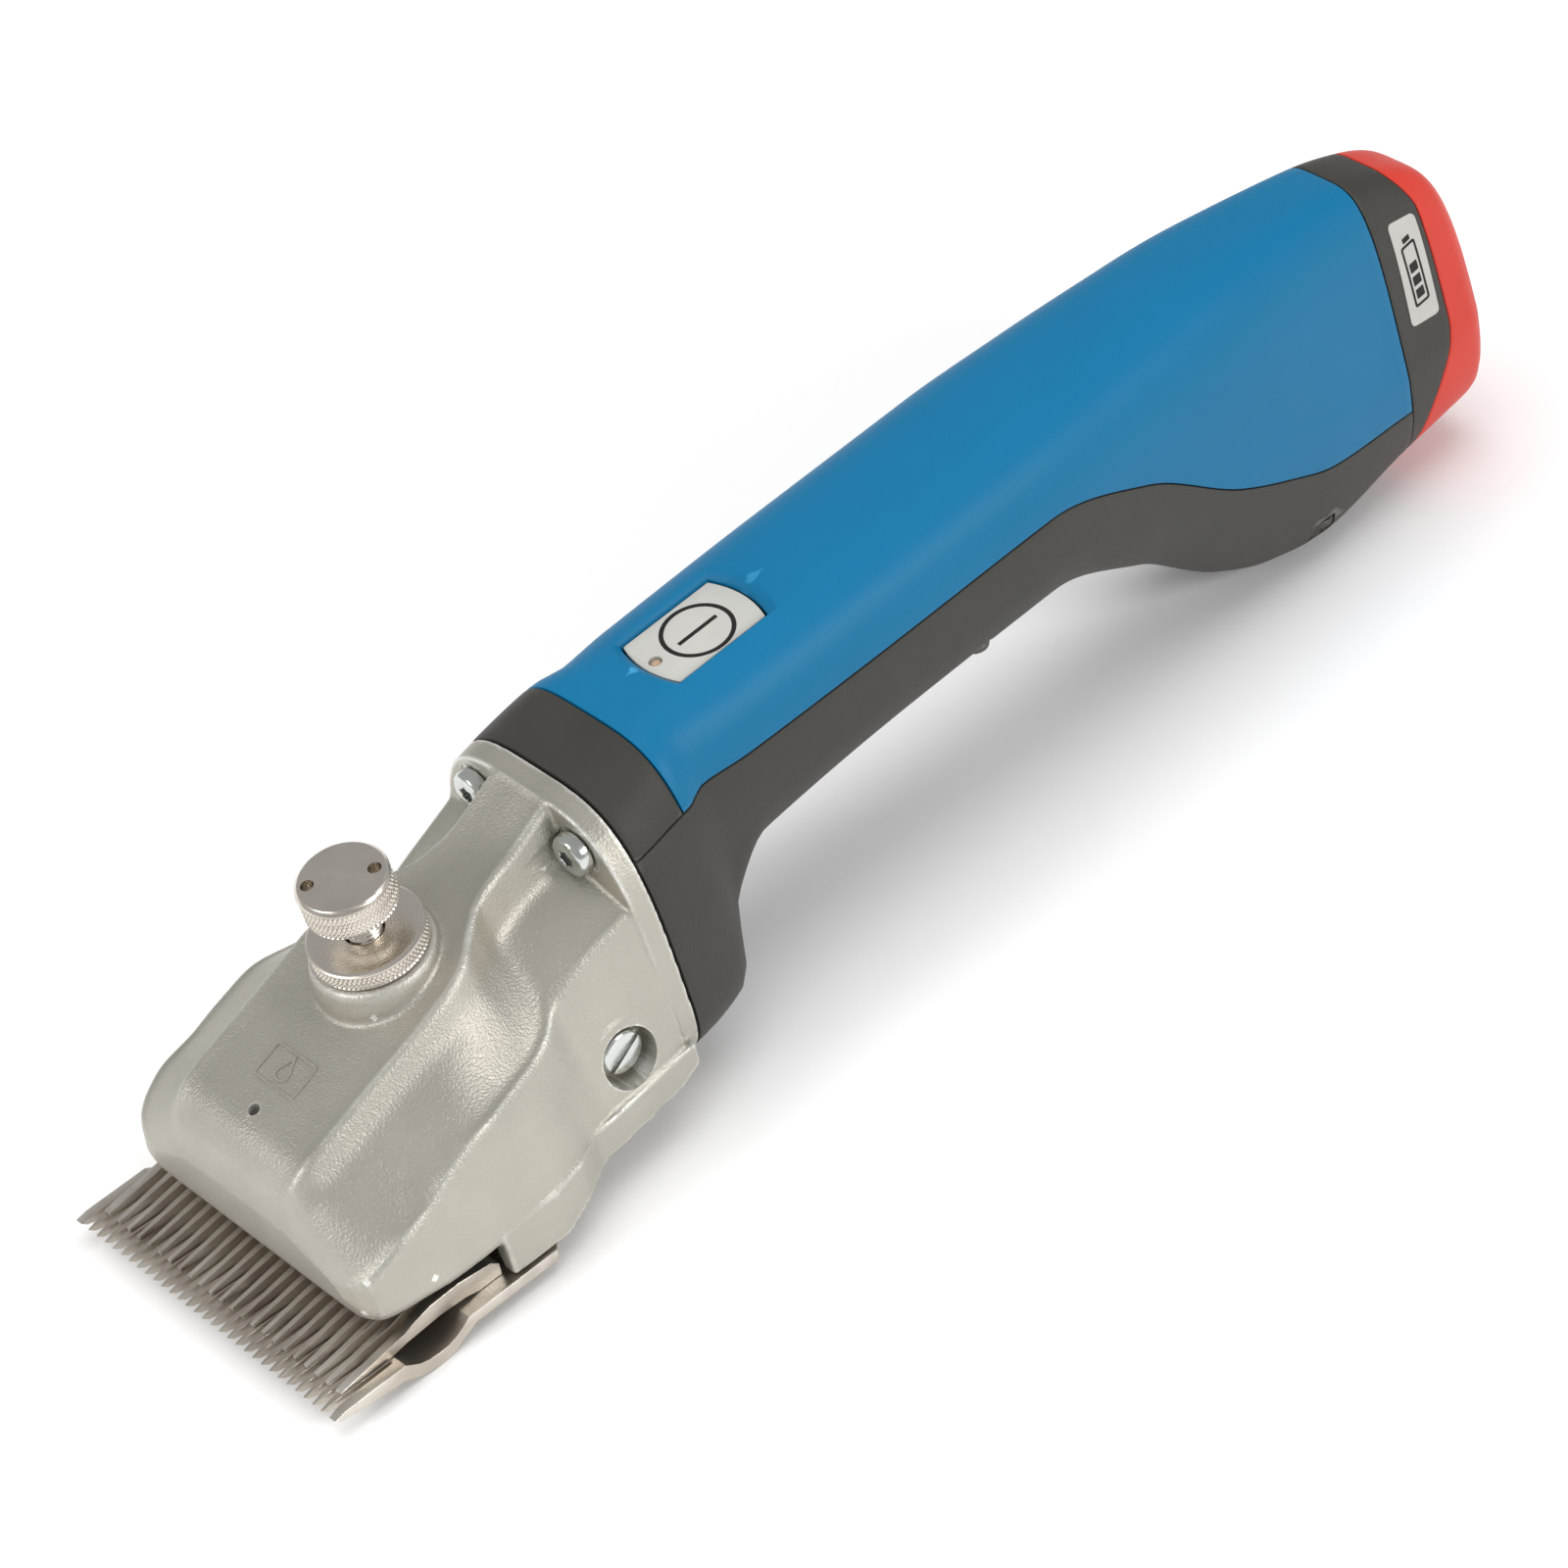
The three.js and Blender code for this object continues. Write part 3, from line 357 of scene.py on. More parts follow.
def softened(made, width, angle=40, segments=2):
    """Rounds every edge that turns by more than the angle."""
    bevel = made.modifiers.new("edges", "BEVEL")
    bevel.width = width
    bevel.segments = segments
    bevel.limit_method = "ANGLE"
    bevel.angle_limit = math.radians(angle)
    bevel.use_clamp_overlap = True
    bevel.miter_outer = "MITER_ARC"
    return bake(made)


def rounded(outline, radius, steps_each=5, longest=1.0):
    """A closed outline of pairs with rounded corners and no side longer than the longest step."""
    points = []
    count = len(outline)
    for i in range(count):
        before, corner, after = (Vector(outline[(i + k) % count]) for k in (-1, 0, 1))
        back, on = before - corner, after - corner
        start = corner + back.normalized() * min(radius, back.length / 2)
        end = corner + on.normalized() * min(radius, on.length / 2)
        for k in range(steps_each + 1):
            t = k / steps_each
            points.append((1 - t) ** 2 * start + 2 * t * (1 - t) * corner + t**2 * end)
    filled = []
    for here, there in zip(points, points[1:] + points[:1]):
        parts = max(1, math.ceil((there - here).length / longest))
        filled += [tuple(here.lerp(there, k / parts)) for k in range(parts)]
    return filled


# ---------------------------------------------------------------- materials


def srgb(red, green, blue):
    """A colour of 0..255 display values as the shader's linear values."""

    def linear(value):
        value /= 255
        return value / 12.92 if value <= 0.04045 else ((value + 0.055) / 1.055) ** 2.4

    return (linear(red), linear(green), linear(blue), 1.0)


# Sockets of a Mix node that blends colours, by number, because their names repeat for each kind of value.
MIX_FACTOR = 0
MIX_COLOUR_A = 6
MIX_COLOUR_B = 7
MIX_COLOUR_OUT = 2
WEAR_AND_HIGHLIGHT_RANGE = 0.04  # how far past the threshold an edge takes the full edge colour, which is partly wear and partly painted highlight


def material(name, colour, rough, metal=0.0, mottle=0.08, mottle_size=8, grain=0.4, bump=0.05, wear_and_highlight=None,
             wear_and_highlight_from=0.52, streaks=None, rings=None, coat=0.0, gloss=0.5):
    """A procedural finish. Sizes are in millimetres. The edge colour is what sharp convex edges show, partly
    rubbed wear and partly a painted highlight; streaks is the axis along which a ground or brushed surface is
    drawn out, rings the point that turning marks circle, and gloss the level of the reflection on top of the
    colour."""
    made = bpy.data.materials.new(name)
    made.use_nodes = True
    tree = made.node_tree
    shader = tree.nodes["Principled BSDF"]
    shader.inputs["Metallic"].default_value = metal
    shader.inputs["Coat Weight"].default_value = coat
    shader.inputs["Specular IOR Level"].default_value = gloss

    def node(kind, **values):
        new = tree.nodes.new(kind)
        for key, value in values.items():
            if hasattr(new, key):
                setattr(new, key, value)
            else:
                new.inputs[key].default_value = value
        return new

    def link(source, output, target, socket):
        tree.links.new(source.outputs[output], target.inputs[socket])

    def remapped(source, output, low=0.0, high=1.0, start=0.0, end=1.0):
        """The output's range start..end spread over low..high."""
        limits = {"From Min": start, "From Max": end, "To Min": low, "To Max": high}
        new = node("ShaderNodeMapRange", **limits)
        link(source, output, new, "Value")
        return new

    where = node("ShaderNodeTexCoord")
    cloud = node("ShaderNodeTexNoise", Scale=1000 / mottle_size, Detail=5.0)
    link(where, "Object", cloud, "Vector")
    spread = remapped(cloud, "Fac", 1 - mottle, 1 + mottle, start=0.3, end=0.7)
    tint = node("ShaderNodeHueSaturation")
    tint.inputs["Color"].default_value = colour
    link(spread, "Result", tint, "Value")

    fine = node("ShaderNodeTexNoise", Scale=1000 / grain, Detail=3.0)
    if streaks:
        stretch = node("ShaderNodeMapping")
        stretch.inputs["Scale"].default_value = tuple(0.04 if axis == streaks else 1.0 for axis in "xyz")
        link(where, "Object", stretch, "Vector")
        link(stretch, "Vector", fine, "Vector")
    elif rings:
        around = node("ShaderNodeTangent", direction_type="RADIAL", axis="Z")
        link(around, "Tangent", shader, "Tangent")
        shader.inputs["Anisotropic"].default_value = 0.7
        centre = node("ShaderNodeMapping")
        centre.inputs["Location"].default_value = tuple(-value for value in rings)
        link(where, "Object", centre, "Vector")
        grooves = node("ShaderNodeTexWave", wave_type="RINGS", rings_direction="Z")
        grooves.inputs["Scale"].default_value = 160 / grain
        grooves.inputs["Distortion"].default_value = 1.5
        grooves.inputs["Detail"].default_value = 2.0
        link(centre, "Vector", grooves, "Vector")
        fine = grooves
    else:
        link(where, "Object", fine, "Vector")

    uneven = remapped(fine, "Fac", rough * 0.82, min(1.0, rough * 1.18))
    link(uneven, "Result", shader, "Roughness")
    relief = node("ShaderNodeBump", Strength=bump * 10, Distance=0.0001)
    link(fine, "Fac", relief, "Height")
    link(relief, "Normal", shader, "Normal")

    # Sharp convex edges, found by pointiness, blend towards a lighter colour: partly rubbed wear, partly a painted
    # highlight line.
    if wear_and_highlight:
        shape = node("ShaderNodeNewGeometry")
        edge = remapped(shape, "Pointiness", start=wear_and_highlight_from, end=wear_and_highlight_from + WEAR_AND_HIGHLIGHT_RANGE)
        patchy = remapped(cloud, "Fac", start=0.3, end=0.55)
        wear_and_highlight_mask = node("ShaderNodeMath", operation="MULTIPLY")
        link(edge, "Result", wear_and_highlight_mask, 0)
        link(patchy, "Result", wear_and_highlight_mask, 1)
        blend = node("ShaderNodeMix", data_type="RGBA")
        link(wear_and_highlight_mask, 0, blend, MIX_FACTOR)
        link(tint, "Color", blend, MIX_COLOUR_A)
        blend.inputs[MIX_COLOUR_B].default_value = wear_and_highlight
        link(blend, MIX_COLOUR_OUT, shader, "Base Color")
    else:
        link(tint, "Color", shader, "Base Color")
    return made


knob_point = handle_frame @ Vector((KNOB_X, 0, RING_TOP))
# The lighter edge colours given below are partly wear and partly painted highlights along convex edges.
LOOKS = {
    "ground_steel": material("ground_steel", srgb(198, 189, 177), 0.3, 0.95, 0.07, 10, 0.3, 0.06, streaks="y",
                             wear_and_highlight=srgb(240, 236, 229), wear_and_highlight_from=0.55),
    "cast_alloy": material("cast_alloy", srgb(186, 182, 171), 0.44, 0.8, 0.05, 14, 0.45, 0.16,
                           wear_and_highlight=srgb(244, 243, 238), wear_and_highlight_from=0.508),
    "cast_mark": material("cast_mark", srgb(186, 182, 171), 0.44, 0.8, 0.05, 14, 0.45, 0.16),
    "zinc_plated": material("zinc_plated", srgb(214, 217, 214), 0.2, 1.0, 0.1, 3, 0.8, 0.05),
    "turned_steel": material("turned_steel", srgb(222, 215, 205), 0.25, 1.0, 0.05, 6, 0.3, 0.008,
                             rings=knob_point),
    "dark_steel": material("dark_steel", srgb(96, 93, 90), 0.4, 1.0, 0.1, 6, 0.4, 0.04, streaks="x"),
    "brass": material("brass", srgb(196, 160, 92), 0.34, 1.0, 0.06, 5, 0.4, 0.03),
    "black_plastic": material("black_plastic", srgb(54, 53, 49), 0.5, 0.0, 0.07, 12, 0.3, 0.1,
                              wear_and_highlight=srgb(104, 101, 94), wear_and_highlight_from=0.54, gloss=0.4),
    "blue_plastic": material("blue_plastic", srgb(4, 108, 152), 0.46, 0.0, 0.03, 20, 0.3, 0.06,
                             wear_and_highlight=srgb(60, 150, 196), wear_and_highlight_from=0.55, gloss=0.25),
    "red_plastic": material("red_plastic", srgb(204, 58, 44), 0.45, 0.0, 0.04, 15, 0.3, 0.05,
                            wear_and_highlight=srgb(236, 110, 92), wear_and_highlight_from=0.56, gloss=0.3),
    "pale_plastic": material("pale_plastic", srgb(188, 187, 181), 0.4, 0.0, 0.03, 6, 0.3, 0.02, gloss=0.3),
    "led_lens": material("led_lens", srgb(176, 150, 122), 0.15, 0.0, 0.05, 1, 0.3, 0.02, coat=1.0),
    "board": material("board", srgb(31, 90, 58), 0.45, 0.0, 0.1, 2, 0.3, 0.05, coat=0.4),
    "cell_wrap": material("cell_wrap", srgb(74, 110, 156), 0.3, 0.0, 0.05, 10, 0.4, 0.03, coat=0.3),
    "ink": material("ink", srgb(34, 33, 32), 0.5, 0.0, 0.15, 1, 0.2, 0.03, gloss=0.2),
}


def finished(made, body, slot, replaces=(), look=None, angle=35):
    """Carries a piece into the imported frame, gives it its finish and lets it ride on its body."""
    made.data.transform(handle_frame)
    made.data.shade_smooth()
    made.data.set_sharp_from_angle(angle=math.radians(angle))
    made.data.materials.clear()
    made.data.materials.append(LOOKS[look or slot])
    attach(made, body)
    if replaces:
        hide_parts(*replaces)
    return made


# ---------------------------------------------------------------- comb and cutter


def toothed_blade(name, profile, half, gaps, blade_edge):
    """A slab with a side profile, cut between its teeth by the given tools."""
    blade = prism(name, profile, -half, half, axis="y")
    combined(blade, gaps)
    softened(blade, blade_edge, angle=30, segments=1)
    blade.data.transform(blade_frame)
    return blade


comb_profile = [
    (0, -0.5), (1.2, -1.5), (6.8, -2.5), (15.3, -3.2), (18, -4.5), (21, -5.6), (24.5, -5.7), (27.5, -5.2),
    (30.5, -3.5), (33, -2.4), (54, -2.4), (55, -1.6), (55, -0.4), (54.4, 0), (31.5, 0), (30, -1.1),
    (28, -2.2), (26, -2.8), (24, -3), (21.5, -2.7), (19.5, -2), (17.8, -0.9), (16.5, 0), (2.6, 0),
]
comb_pitch = (2 * COMB_HALF - 3) / (COMB_TEETH - 1)
comb_gaps = []
for i in range(COMB_TEETH - 1):
    y = (i - (COMB_TEETH - 2) / 2) * comb_pitch
    widths = [(-1, 1.14), (0.2, 1.02), (3.5, 0.62), (COMB_ROOT - 0.5, 0.38), (COMB_ROOT, 0.2)]
    wedge = [(x, y - half) for x, half in widths] + [(x, y + half) for x, half in reversed(widths)]
    comb_gaps.append(prism("gap", wedge, -8, 2))
for _, side in SIDES:
    corner = [(51.5, side * 40), (56, side * 40), (56, side * 34.5)]
    comb_gaps.append(prism("corner", corner, -8, 4))
    x, y = COMB_SCREW[0], side * COMB_SCREW[1]
    comb_gaps.append(rod("hole", (x, y, -8), (x, y, 4), 2.8))
comb = toothed_blade("comb_plate", comb_profile, COMB_HALF, comb_gaps, 0.12)
finished(comb, "housing", "ground_steel", ["comb"], angle=25)

# The cutter's gaps are ground by a V-shaped wheel, so its teeth are ridged and widen towards the rear.
cutter_pitch = (2 * CUTTER_HALF - 2.4) / (CUTTER_TEETH - 1)
wheel_slope = 0.3  # half width per height
wheel_path = [(1, -3.9), (CUTTER_FRONT, -3.1), (12, -1.5), (20, 0.25), (23, 2.2), (26, 4), (28.5, 5.8)]
cutter_profile = [
    (CUTTER_FRONT, 0.15), (16, 0.15), (20, 0.8), (28, 1.3), (34, 0.9), (37, 0.15), (CUTTER_REAR, 0.15),
    (CUTTER_REAR, 2.8), (40.6, 4.2), (33, 5.2), (26.4, 5), (22, 4), (20, 3.1), (CUTTER_FRONT, 0.75),
]
cutter_gaps = []
for i in range(CUTTER_TEETH - 1):
    y = (i - (CUTTER_TEETH - 2) / 2) * cutter_pitch
    rings = []
    for x, apex in wheel_path:
        reach = cutter_pitch / 2 - 0.03
        shoulder = apex + reach / wheel_slope
        rings.append([(x, y, apex), (x, y + reach, shoulder), (x, y + reach, 20), (x, y - reach, 20),
                      (x, y - reach, shoulder)])
    cutter_gaps.append(loft("groove", rings))
for _, side in SIDES:
    slot_box = [(PRONG[0] - 3.4, side * PRONG[1] - 2.4), (PRONG[0] + 3.4, side * PRONG[1] - 2.4),
                (PRONG[0] + 3.4, side * PRONG[1] + 2.4), (PRONG[0] - 3.4, side * PRONG[1] + 2.4)]
    cutter_gaps.append(prism("slot", rounded(slot_box, 2.4), -1, 9))
cutter = toothed_blade("cutter_blade", cutter_profile, CUTTER_HALF, cutter_gaps, 0.07)
finished(cutter, "cutter", "ground_steel", ["cutter"], angle=20)

# ---------------------------------------------------------------- head casting


def corner_rounded(points, radii, steps_each=4):
    """An open outline whose inner corners are rounded off by the given radii."""
    made = [points[0]]
    for before, corner, after, radius in zip(points, points[1:], points[2:], radii):
        before, corner, after = Vector(before), Vector(corner), Vector(after)
        back, on = before - corner, after - corner
        start = corner + back.normalized() * min(radius, back.length * 0.48)
        end = corner + on.normalized() * min(radius, on.length * 0.48)
        for k in range(steps_each):
            t = k / (steps_each - 1)
            made.append(tuple((1 - t) ** 2 * start + 2 * t * (1 - t) * corner + t**2 * end))
    made.append(points[-1])
    return made


def head_ring(x, inset=0.0, floor=None, lip=0.5):
    """One cross-section of the head. The lip is the raised bead along ridge and top face."""
    _, bottom, low, face, top, ridge, ridge_up, step = read_table(HEAD, x)
    base = bottom + inset if floor is None else floor
    lip = min(lip, step / 6) if inset == 0 else 0
    valley = top - step
    half = [
        (0, base),
        (low - inset - 2.5, base),
        (low - inset, base + 2.5),
        ((low + ridge) / 2 - inset, (base + ridge_up) / 2 + 1),
        (ridge - inset, ridge_up - inset / 2),
        (ridge - inset - 0.9, ridge_up + 0.75 - inset + lip),
        (ridge - inset - 2, ridge_up + 1.2 - inset),
        (face + (ridge - face) * 0.35 - inset / 2, valley - (valley - ridge_up) * 0.25 - inset),
        (face + 2 - inset / 2, valley - inset),
        (face - inset / 2, top - 1 - inset + lip),
        (face - 1 - inset / 2, top - 0.2 - inset + lip),
        (face - 3 - inset / 2, top - inset),
        (0, top - inset + 0.15),
    ]
    half = corner_rounded(half, [2, 2.5, 9, 0.8, 0.5, 2, 7, 2, 0.6, 0.5, 3])
    left = [(-y, z) for y, z in reversed(half[1:-1])]
    return [(x, y, z) for y, z in half + left]


def handle_point(x, angle, inset=0.0):
    """A point on the handle's skin, or inset from it, at an angle around the section."""
    _, top, bottom, half, widest, taper, square_up, square_down, _ = handle_row(x)
    c, s = math.cos(angle), math.sin(angle)
    power = square_up if s >= 0 else square_down
    reach = (abs(c) ** power + abs(s) ** power) ** (-1 / power)
    across, up = c * reach, s * reach
    rise = top - inset - widest if up >= 0 else widest - bottom - inset
    return (x, (half - inset) * across * (1 - taper * max(0, up)), widest + up * rise)


def handle_ring(x, inset=0.0, count=96):
    return [handle_point(x, 2 * math.pi * (i + 0.5) / count, inset) for i in range(count)]


def handle_angle(x, z, inset=0.0):
    """The angle at which the handle's section on the left passes a height."""
    _, top, bottom, _, widest, _, square_up, square_down, _ = handle_row(x)
    rise, power = (top - inset - widest, square_up) if z >= widest else (widest - bottom - inset, square_down)
    up = max(-0.999, min(0.999, (z - widest) / rise))
    across = (1 - abs(up) ** power) ** (1 / power)
    return math.atan2(up, across)


head_xs = [14.6, 15, 15.6, 16.4] + steps(17.6, 95.4, 1.2)
head = loft("head_housing", [head_ring(x) for x in head_xs])
flange = loft("flange", [handle_ring(x) for x in (95.2, 96.5, 98, FLANGE_X)])
cheek_side = [(43.2, 8), (43.2, -2.6), (56.4, -3.3), (64, -1.2), (72, 0.2), (92, 0.6), (97, 3), (97, 8)]
cheek_plan = [(43, 38.2), (56.4, 38.2), (64, 36.4), (70, 33.4), (98, 31.4)]
cheek_trim = prism("trim", cheek_plan + [(x, -y) for x, y in reversed(cheek_plan)], -5, 9)
cheeks = combined(prism("cheeks", cheek_side, -39, 39, axis="y"), [cheek_trim], "INTERSECT")
boss_profile = [(0, -18), (13.4, -18), (12.9, -9), (12.3, -5.8), (11.8, -4.8), (11, -4.5), (0, -4.5)]
boss = revolved("boss", boss_profile, 64, tension_frame)
combined(head, [flange], "UNION")
combined(head, [cheeks], "UNION")
combined(head, [boss], "UNION")
cavity_xs = [19, 22, 28, 34, 40, 50, 57, 64, 70, 76, 84, 94]
cavity = loft("cavity", [head_ring(x, CAST_WALL, -12 if x < 45 else 1.4) for x in cavity_xs])
combined(head, [cavity])
under = [(21, -33.5), (45.5, -33.5), (45.5, 33.5), (21, 33.5)]
combined(head, [prism("under", under, -12, 6)])
rear_mouth = [(93, -22), (101, -22), (101, 22), (93, 22)]
combined(head, [prism("mouth", rear_mouth, 1, 37)])
for _, side in SIDES:
    x, z = SIDE_SCREW
    combined(head, [rod("pad", (x, side * 28.4, z), (x, side * 24, z), 8)], "UNION")
bar_plan = [(46, -30), (57, -30), (57, 30), (46, 30)]
combined(head, [prism("comb_bar", bar_plan, -3.4, 4)], "UNION")

# The casting's edges are all soft, as the mould leaves them.
remesh = head.modifiers.new("skin", "REMESH")
remesh.mode = "VOXEL"
remesh.voxel_size = 0.45
soften = head.modifiers.new("soften", "SMOOTH")
soften.factor = 0.5
soften.iterations = 2
bake(head)

# Drilled and milled features keep crisp edges.
drills = [revolved("tension", [(0, -30), (5.3, -30), (5.3, 2), (0, 2)], 48, tension_frame)]
drills.append(rod("oil", (25, 0, 20), (23.6, 0, 40), 1.2))
for _, side in SIDES:
    x, z = SIDE_SCREW
    drills.append(rod("recess", (x, side * 40, z), (x, side * SIDE_SEAT, z), 6, 48))
    drills.append(rod("bore", (x, side * 32, z), (x, side * 20, z), 2.9))
    for y, height in HEAD_SCREWS.values():
        drills.append(rod("seat", (85, side * y, height), (95.3, side * y, height), 5.2, 40))
        drills.append(rod("thread", (92, side * y, height), (101, side * y, height), 2.5))
    x, y = COMB_SCREW[0], side * COMB_SCREW[1]
    thread_hole = rod("comb_thread", (x, y, -2), (x, y, 5.6), 2.3)
    thread_hole.data.transform(blade_frame)
    drills.append(thread_hole)
comb_land = prism("land", [(43, -42), (60, -42), (60, 42), (43, 42)], -6, GAP)
comb_land.data.transform(blade_frame)
drills.append(comb_land)
for drill in drills:
    combined(head, [drill])
finished(head, "housing", "cast_alloy", ["head_casting"], angle=40)

# ---------------------------------------------------------------- oil mark


def head_top(x, y):
    return read_table(HEAD, x)[4] + 0.15 * (1 - abs(y) / 15)


def strip(name, outer, inner, surface, low, high):
    """A raised band between two outlines of pairs, laid on a surface."""
    grids = []
    for lift in (high, low):
        grids.append([[surface(pair, lift) for pair in outline] for outline in (outer, inner)])
    return wall(name, grids[0], grids[1], wrap=True)


def plate(name, outline, surface, low, high):
    """A filled plate with an outline of pairs, laid on a surface."""
    centre = Vector((sum(p[0] for p in outline) / len(outline), sum(p[1] for p in outline) / len(outline)))
    grids = []
    for lift in (high, low):
        rows = []
        for scale in (1, 0.8, 0.6, 0.4, 0.2, 0.03):
            rows.append([surface(tuple(centre + (Vector(p) - centre) * scale), lift) for p in outline])
        grids.append(rows)
    return wall(name, grids[0], grids[1], wrap=True, closed_end=True)


def on_head(pair, lift):
    return (pair[0], pair[1], head_top(*pair) + lift)


def rectangle(cx, cy, half_x, half_y, radius):
    corners = [(cx - half_x, cy - half_y), (cx + half_x, cy - half_y), (cx + half_x, cy + half_y),
               (cx - half_x, cy + half_y)]
    return rounded(corners, radius)


def drop(cx, cy, size):
    """A drop that points towards the tool's rear."""
    points = []
    for i in range(36):
        angle = 2 * math.pi * i / 36
        reach = size * (1 + 0.9 * max(0, math.cos(angle)) ** 6)
        across = size * math.sin(angle) * (1 - 0.15 * math.cos(angle))
        points.append((cx + reach * math.cos(angle), cy + across))
    return points


OIL_LIFT = (-0.4, 0.32)  # foot and top of the mark, over the casting's skin
mark_outer = rectangle(OIL_MARK_X, 0, 3.6, 5.7, 0.9)
mark_inner = rectangle(OIL_MARK_X, 0, 3.15, 5.25, 0.6)
mark_frame = strip("oil_mark_frame", mark_outer, mark_inner, on_head, *OIL_LIFT)
finished(mark_frame, "housing", "cast_alloy", look="cast_mark")
mark_drop = strip("oil_mark_drop", drop(31.8, 0, 1.8), drop(31.8, 0, 1.3), on_head, *OIL_LIFT)
finished(mark_drop, "housing", "cast_alloy", look="cast_mark")

# ---------------------------------------------------------------- screws


def star(depth):
    """The six lobes of a screw's socket."""
    return lambda angle, height: depth * (1 - math.cos(6 * angle)) / 2


def pan_screw(name, head_radius, head_height, shank_radius, shank_length, socket_radius, matrix):
    lobes = star(socket_radius * 0.26)
    profile = [
        (0, head_height * 0.3),
        (socket_radius, head_height * 0.3, lobes),
        (socket_radius, head_height * 0.96, lobes),
        (socket_radius * 1.08, head_height, lobes),
        (head_radius * 0.62, head_height),
        (head_radius * 0.84, head_height * 0.95),
        (head_radius * 0.95, head_height * 0.8),
        (head_radius, head_height * 0.55),
        (head_radius, 0.15),
        (head_radius - 0.15, 0),
        (shank_radius, 0),
        (shank_radius, -shank_length),
        (0, -shank_length),
    ]
    return revolved(name, profile, 72, matrix)


def turn(axis, degrees):
    return Matrix.Rotation(math.radians(degrees), 4, axis)


for name, side in SIDES:
    for row, (y, z) in HEAD_SCREWS.items():
        place = Matrix.Translation((95, side * y, z)) @ turn("Y", -90) @ turn("Z", 11 * side)
        screw = pan_screw(f"flange_screw_{row}_{name}", 4.4, 3, 2.2, 5, 1.9, place)
        finished(screw, "housing", "zinc_plated", [f"head_screw_{row}_{name}"])
    comb_seat = (COMB_SCREW[0], side * COMB_SCREW[1], -2.7)
    place = blade_frame @ Matrix.Translation(comb_seat) @ turn("X", 180)
    screw = pan_screw(f"comb_bolt_{name}", 4.2, 2.2, 2, 7, 1.8, place)
    finished(screw, "housing", "zinc_plated", [f"comb_screw_{name}"])
    side_seat = (SIDE_SCREW[0], side * (SIDE_SEAT + 0.1), SIDE_SCREW[1])
    place = Matrix.Translation(side_seat) @ turn("X", -90 * side)
    profile = [
        (0, -6.6), (2.6, -6.6), (2.6, 0), (4.4, 0), (4.6, 0.2), (4.6, 2.1), (4.3, 2.5), (4, 2.6), (0, 2.6),
    ]
    pivot = revolved(f"pivot_screw_{name}", profile, 64, place)
    groove = prism("groove", [(-6, -0.6), (6, -0.6), (6, 0.6), (-6, 0.6)], 1.4, 4)
    groove.data.transform(place @ turn("Z", 30))
    combined(pivot, [groove])
    finished(softened(pivot, 0.08), "housing", "zinc_plated", [f"side_screw_{name}"])
    for row, (x, y, seat) in SHELL_SCREWS.items():
        place = Matrix.Translation((x, side * y, seat - 0.2)) @ turn("X", 180)
        length = handle_row(x)[8] + 5 - seat
        screw = pan_screw(f"shell_screw_{row}_{name}", 2.8, 1.8, 1.3, length, 1.3, place)
        finished(screw, "housing", "zinc_plated", [f"{row}_screw_{name}"], look="dark_steel")

# ---------------------------------------------------------------- tension knob and lock ring


def knurl(radius, depth, low, high):
    """A diamond knurl: two crossed sets of V grooves, which fade at the band's ends."""
    count = round(2 * math.pi * radius / 0.92)

    def relief(angle, height):
        turns = count * angle / (2 * math.pi)
        climb = 0.8 * (height - low)
        ridges = [1 - abs(2 * ((turns + sign * climb) % 1) - 1) for sign in (-1, 1)]
        fade = min(1.0, (height - low) / 0.25, (high - height) / 0.25)
        return depth * max(0.0, fade) * (1 - min(ridges))

    return count * 6, relief


def knurled_band(radius, low, high, relief):
    return [(radius, z, relief) for z in steps(low, high, 0.17)]


knob_count, knob_relief = knurl(KNOB_RADIUS, 0.34, 7.5, KNOB_TOP - 0.9)
knob_profile = [(0, 4.6), (NECK_RADIUS, 4.6), (5.2, 6.2), (KNOB_RADIUS - 0.7, 6.9), (KNOB_RADIUS - 0.2, 7.3)]
knob_profile += knurled_band(KNOB_RADIUS, 7.5, KNOB_TOP - 0.9, knob_relief)
knob_profile += [(KNOB_RADIUS - 0.05, KNOB_TOP - 0.75), (KNOB_RADIUS - 0.65, KNOB_TOP - 0.08),
                 (KNOB_RADIUS - 0.75, KNOB_TOP), (0, KNOB_TOP)]
knob = revolved("knurled_knob", knob_profile, knob_count)
holes = [rod("hole", (-5 * side, 3.7 * side, KNOB_TOP - 3.5), (-5 * side, 3.7 * side, KNOB_TOP + 2), 1.3)
         for _, side in SIDES]
combined(knob, holes)
knob.data.transform(tension_frame)
finished(knob, "tension knob", "turned_steel", ["tension_knob"], angle=28)


def thread(pitch_mm, depth):
    return lambda angle, height: depth * abs(2 * ((height / pitch_mm - angle / (2 * math.pi)) % 1) - 1)


spindle_profile = [(0, -9.6), (2.9, -9.6), (2.9, -22.9), (4.9, -23), (4.9, -6.8), (NECK_RADIUS - 0.1, -6.5)]
spindle_profile += [(NECK_RADIUS, z, thread(1.0, 0.4)) for z in steps(-5, 3, 0.125)]
spindle_profile += [(NECK_RADIUS - 0.4, 3.2), (NECK_RADIUS - 0.4, 3.8), (NECK_RADIUS + 0.1, 4.1), (3.9, 4.9),
                    (0, 4.9)]
spindle = revolved("knob_spindle", spindle_profile[::-1], 56, tension_frame)
finished(spindle, "tension knob", "turned_steel", angle=30)

